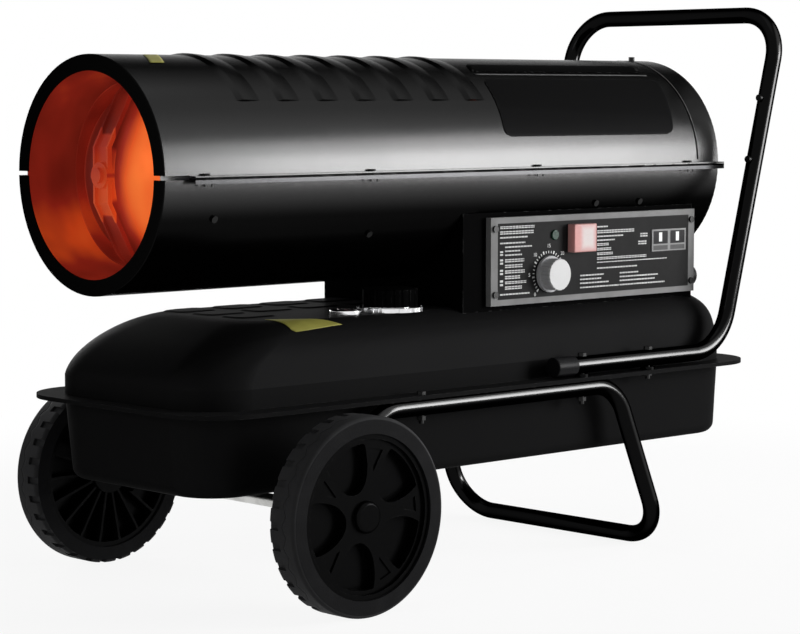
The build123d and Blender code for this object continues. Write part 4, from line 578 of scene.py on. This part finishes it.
def flatPiece(name, corners, finish):
    # flat marks of four corners each, just off the panel's face
    verts = [(x, marks["face"], z) for x, z in corners]
    faces = [tuple(range(first, first + 4)) for first in range(0, len(verts), 4)]
    piece = newPiece(name, verts, faces, "heater", finish, smooth=False)
    thicken(piece, marks["thickness"], offset=-1.0)


strokes = []
for left, right, low, high in marks["bars"]:
    # each bar is broken into short strokes, so that it reads as small print
    start = left
    count = 0
    rows = 2 if high - low > marks["twoRowsFrom"] else 1
    while start < right - 0.0005:
        width = marks["stroke"] + marks["longer"] * ((count * 7 + int(left * 1000)) % 5) / 5
        end = min(start + width, right)
        for row in range(rows):
            bottom = low + (high - low) * (row + 0.15) / rows
            top = low + (high - low) * (row + 0.75) / rows
            strokes += [(start, bottom), (end, bottom), (end, top), (start, top)]
        start = end + marks["gap"]
        count += 1
flatPiece("panelPrint", strokes, printGrey)

dial = dict(
    x=0.101, z=0.364, inner=0.0262, outer=0.0292, longer=0.001, first=-45.0, sweep=270.0, ticks=28,
    halfWide=0.0011, halfThin=0.0006, numbers=0.0355, size=0.0068, depth=0.0002,
)
ticks = []
for tick in range(dial["ticks"] + 1):
    middle = radians(dial["first"] + dial["sweep"] * tick / dial["ticks"])
    long = tick % 4 == 0
    half = (dial["halfWide"] if long else dial["halfThin"]) / dial["outer"]
    reach = dial["outer"] + (dial["longer"] if long else 0.0)
    for radius, turn in ((dial["inner"], -half), (reach, -half), (reach, half), (dial["inner"], half)):
        ticks.append((dial["x"] + radius * cos(middle + turn), dial["z"] + radius * sin(middle + turn)))
flatPiece("dialTicks", ticks, printPale)


def dialNumber(text, degrees):
    # a plain number beside its tick
    curve = bpy.data.curves.new("number" + text, "FONT")
    curve.body = text
    curve.size = dial["size"]
    curve.extrude = dial["depth"]
    curve.align_x = "CENTER"
    curve.align_y = "CENTER"
    curve.materials.append(printPale.material)
    number = bpy.data.objects.new("dialNumber" + text, curve)
    bpy.context.scene.collection.objects.link(number)
    a = radians(degrees)
    number.location = (dial["x"] + dial["numbers"] * cos(a), marks["face"], dial["z"] + dial["numbers"] * sin(a))
    number.rotation_euler = (radians(90), 0, 0)
    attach(number, "heater")


for count, degrees in enumerate((225, 180, 135, 90, 45, 0)):
    dialNumber(str(5 * count), degrees)
print("panel marks made")


def onBarrel(x, degrees, lift):
    a = radians(degrees)
    r = barrel["radius"] + lift
    return (x, -r * sin(a), barrel["height"] + r * cos(a))


# bare name plate on the barrel's flank, under a black band of painted shade where a recess would be, and a painted
# highlight line
# upper and lower edge: left end, right end and degrees from the crown
highlightLineFinish = plastic("paintedHighlightLine", grey(0.06), 0.35)
plates = dict(
    namePlate=dict(
        upper=(0.035, 0.369, 36.3), lower=(0.026, 0.346, 73.3), corner=0.012, lift=0.0004,
        thickness=0.0005, edge=0.0002, rows=28, columns=60, finish=plateFinish,
    ),
    # painted shade: a black band above the plate
    recessShadeBand=dict(
        upper=(0.04, 0.365, 20.0), lower=(0.03, 0.353, 29.7), corner=0.006, lift=0.0003,
        thickness=0.0002, edge=0.0, rows=10, columns=40, finish=housingPaint,
    ),
    # painted highlight: a light line along the band
    plateHighlightLine=dict(
        upper=(0.032, 0.358, 31.7), lower=(0.032, 0.358, 32.6), corner=0.0, lift=0.0003,
        thickness=0.0003, edge=0.0, rows=2, columns=40, finish=highlightLineFinish,
    ),
)


def barrelPatch(name, plate):
    upper, lower, corner = plate["upper"], plate["lower"], plate["corner"]
    height = radians(lower[2] - upper[2]) * barrel["radius"]

    def point(u, v):
        edge = min(v, 1 - v) * height
        inset = corner - sqrt(max(0.0, corner ** 2 - (corner - edge) ** 2)) if edge < corner else 0.0
        left = upper[0] + (lower[0] - upper[0]) * v + inset
        right = upper[1] + (lower[1] - upper[1]) * v - inset
        return onBarrel(left + (right - left) * u, upper[2] + (lower[2] - upper[2]) * v, plate["lift"])

    patch = gridPiece(name, plate["columns"], plate["rows"], point, "heater", plate["finish"])
    thicken(patch, plate["thickness"], plate["edge"])


for name, plate in plates.items():
    barrelPatch(name, plate)
print("name plate made")

# plain yellow stickers: one slants across the barrel, one is folded over the tank's shoulder
stickerYellow = plastic("yellowSticker", (0.27, 0.255, 0.055), 0.5)
slanted = dict(start=-0.449, width=0.0204, slant=0.0185, top=6.5, sweep=16.0, lift=0.0004, thickness=0.0003)


def slantedPoint(u, v):
    along = slanted["start"] + slanted["width"] * u - slanted["slant"] * v
    return onBarrel(along, slanted["top"] + slanted["sweep"] * v, slanted["lift"])


barrelSticker = gridPiece("barrelSticker", 6, 12, slantedPoint, "heater", stickerYellow)
thicken(barrelSticker, slanted["thickness"])

tankMesh = bmesh.new()
tankMesh.from_mesh(nodes["tank_upper"].data)
tankTree = BVHTree.FromBMesh(tankMesh)


def onTank(x, y, lift):
    # the point of the tank's top below (x, y), raised along its normal
    hit, normal, index, distance = tankTree.ray_cast(Vector((x, y, 0.6)), Vector((0, 0, -1)))
    if normal.z < 0:
        normal = -normal
    return tuple(hit + normal * lift)


# soft pads pressed into the tank's top
pads = dict(
    width=0.066, depth=0.048, height=0.0016, edge=0.006, corner=0.016, sunk=0.0002,
    spots=[
        (-0.302, 0.086), (-0.302, 0.03), (-0.302, -0.026), (-0.226, 0.086), (-0.226, 0.03),
        (-0.15, 0.086), (-0.15, 0.03), (-0.074, 0.086), (-0.074, 0.03),
    ],
)


def tankPad(name, cx, cy):
    # full height inside, falling to the skin at its edge
    def corner(u, v):
        a, b = (u - 0.5) * pads["width"], (v - 0.5) * pads["depth"]
        ex = max(0.0, abs(a) - (pads["width"] / 2 - pads["corner"]))
        ey = max(0.0, abs(b) - (pads["depth"] / 2 - pads["corner"]))
        reach = sqrt(ex * ex + ey * ey)
        gap = pads["corner"] - reach
        if gap < 0:
            pull = pads["corner"] / reach
            a = (abs(a) - ex + ex * pull) * (1 if a > 0 else -1)
            b = (abs(b) - ey + ey * pull) * (1 if b > 0 else -1)
            gap = 0.0
        t = min(1.0, gap / pads["edge"])
        return onTank(cx + a, cy + b, pads["height"] * t * t * (3 - 2 * t) - pads["sunk"])

    gridPiece(name, 30, 24, corner, "heater", tankPaint)


for count, (cx, cy) in enumerate(pads["spots"]):
    tankPad("tankPad" + str(count), cx, cy)

folded = dict(
    far=(-0.3207, -0.0781), near=(-0.2451, -0.1295), tip=(-0.3259, -0.1345), blunt=0.94, lift=0.0005,
    thickness=0.0003,
)


def foldedPoint(u, v):
    # a triangle that narrows from its upper edge to a tip on the shoulder
    down = v * folded["blunt"]
    spot = []
    for a, b, c in zip(folded["far"], folded["near"], folded["tip"]):
        edge = a + (b - a) * u
        spot.append(edge + (c - edge) * down)
    return onTank(spot[0], spot[1], folded["lift"])


tankSticker = gridPiece("tankSticker", 24, 16, foldedPoint, "heater", stickerYellow)
thicken(tankSticker, folded["thickness"])
print("pads and stickers made")

# crease and a painted highlight line round the rear end of the barrel, down both sides to just above the seam
rearLines = dict(lift=0.0003, thickness=0.0002, sweep=87.5)
rearLines["strips"] = [("crease", (0.3885, 0.3902), housingPaint), ("light", (0.3902, 0.3914), highlightLineFinish)]
for count, side in enumerate((-1, 1)):
    for label, (left, right), finish in rearLines["strips"]:
        strip = gridPiece(
            label + "Strip" + str(count), 2, 40,
            lambda u, v: onBarrel(left + (right - left) * u, side * rearLines["sweep"] * v, rearLines["lift"]),
            "heater", finish,
        )
        thicken(strip, rearLines["thickness"])
print("rear lines made")

# pale floor that keeps the object's shadow and fades into the white behind it
ground = dict(half=9, tone=grey(0.9), nearGlow=0.9, fade=(0.9, 1.6))
floorFinish = Finish("paleFloor", Roughness=0.9, Specular_IOR_Level=0.1)
floorFinish.colour(ground["tone"])
away = floorFinish.node(
    "ShaderNodeVectorMath", {"operation": "LENGTH"}, {0: floorFinish.place()}, output="Value"
)
glow = floorFinish.shown() * (ground["nearGlow"] + away.ramp(*ground["fade"]) * (1 - ground["nearGlow"]))
white = floorFinish.node("ShaderNodeEmission", {}, {"Color": grey(1.0), "Strength": 1.0})
lit = Wire(floorFinish, floorFinish.shader.outputs[0])
floorFinish.feed(floorFinish.output, {"Surface": floorFinish.mixed(glow, lit, white)})
floorMesh = bpy.data.meshes.new("floor")
half = ground["half"]
floorMesh.from_pydata([(-half, -half, 0), (half, -half, 0), (half, half, 0), (-half, half, 0)], [], [(0, 1, 2, 3)])
floorMesh.materials.append(floorFinish.material)
floor = bpy.data.objects.new("floor", floorMesh)
bpy.context.scene.collection.objects.link(floor)
floor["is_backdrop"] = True

# white surroundings, of which only a little lights the object
surroundings = dict(ambient=0.1, seen=1.0)
world = bpy.data.worlds.new("studio")
bpy.context.scene.world = world
world.use_nodes = True
studio = Shading(world.node_tree)
dim, bright = [
    studio.node("ShaderNodeBackground", {}, {"Color": grey(1.0), "Strength": surroundings[key]})
    for key in ("ambient", "seen")
]
studioOutput = studio.tree.nodes.new("ShaderNodeOutputWorld")
studio.feed(studioOutput, {"Surface": studio.mixed(studio.shown(), dim, bright)})

# lamps: place, target, width and height, power
lamps = dict(
    flankBand=((1.9, -2.05, 0.72), (0, -0.1, 0.5), (1.2, 0.9), 66),
    flankFade=((1.85, -1.95, 1.42), (0, -0.1, 0.5), (1.2, 0.5), 16),
    fromRear=((2.5, -0.35, 0.8), (0.45, 0.0, 0.5), (0.4, 1.5), 12),
    farSide=((0.4, 2.8, 0.95), (0, 0.1, 0.45), (1.4, 0.9), 34),
    overhead=((0.1, -0.2, 2.6), (0, 0, 0.3), (1.6, 1.0), 5),
    fromOutlet=((-2.4, -0.2, 0.9), (-0.4, 0, 0.45), (0.6, 0.6), 5),
)
for name, (place, target, size, power) in lamps.items():
    lamp = bpy.data.lights.new(name, "AREA")
    lamp.shape = "RECTANGLE"
    lamp.size, lamp.size_y = size
    lamp.energy = power
    box = bpy.data.objects.new(name, lamp)
    box.location = place
    box.rotation_euler = (Vector(target) - Vector(place)).to_track_quat("-Z", "Y").to_euler()
    bpy.context.scene.collection.objects.link(box)

view = dict(place=(-2.2596, -2.3593, 0.5902), yaw=radians(43.4), pitch=radians(4.964), lens=115.2, sensor=36.0)
cameraData = bpy.data.cameras.new("camera")
cameraData.lens = view["lens"]
cameraData.sensor_width = view["sensor"]
camera = bpy.data.objects.new("camera", cameraData)
camera.location = view["place"]
flat = cos(view["pitch"])
ahead = Vector((sin(view["yaw"]) * flat, cos(view["yaw"]) * flat, -sin(view["pitch"])))
camera.rotation_euler = ahead.to_track_quat("-Z", "Y").to_euler()
bpy.context.scene.collection.objects.link(camera)
bpy.context.scene.camera = camera
bpy.context.scene.view_settings.view_transform = "Standard"
print("stage set")

low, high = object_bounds()
{"cad": [list(cadLow), list(cadHigh)], "visual": [list(low), list(high)]}
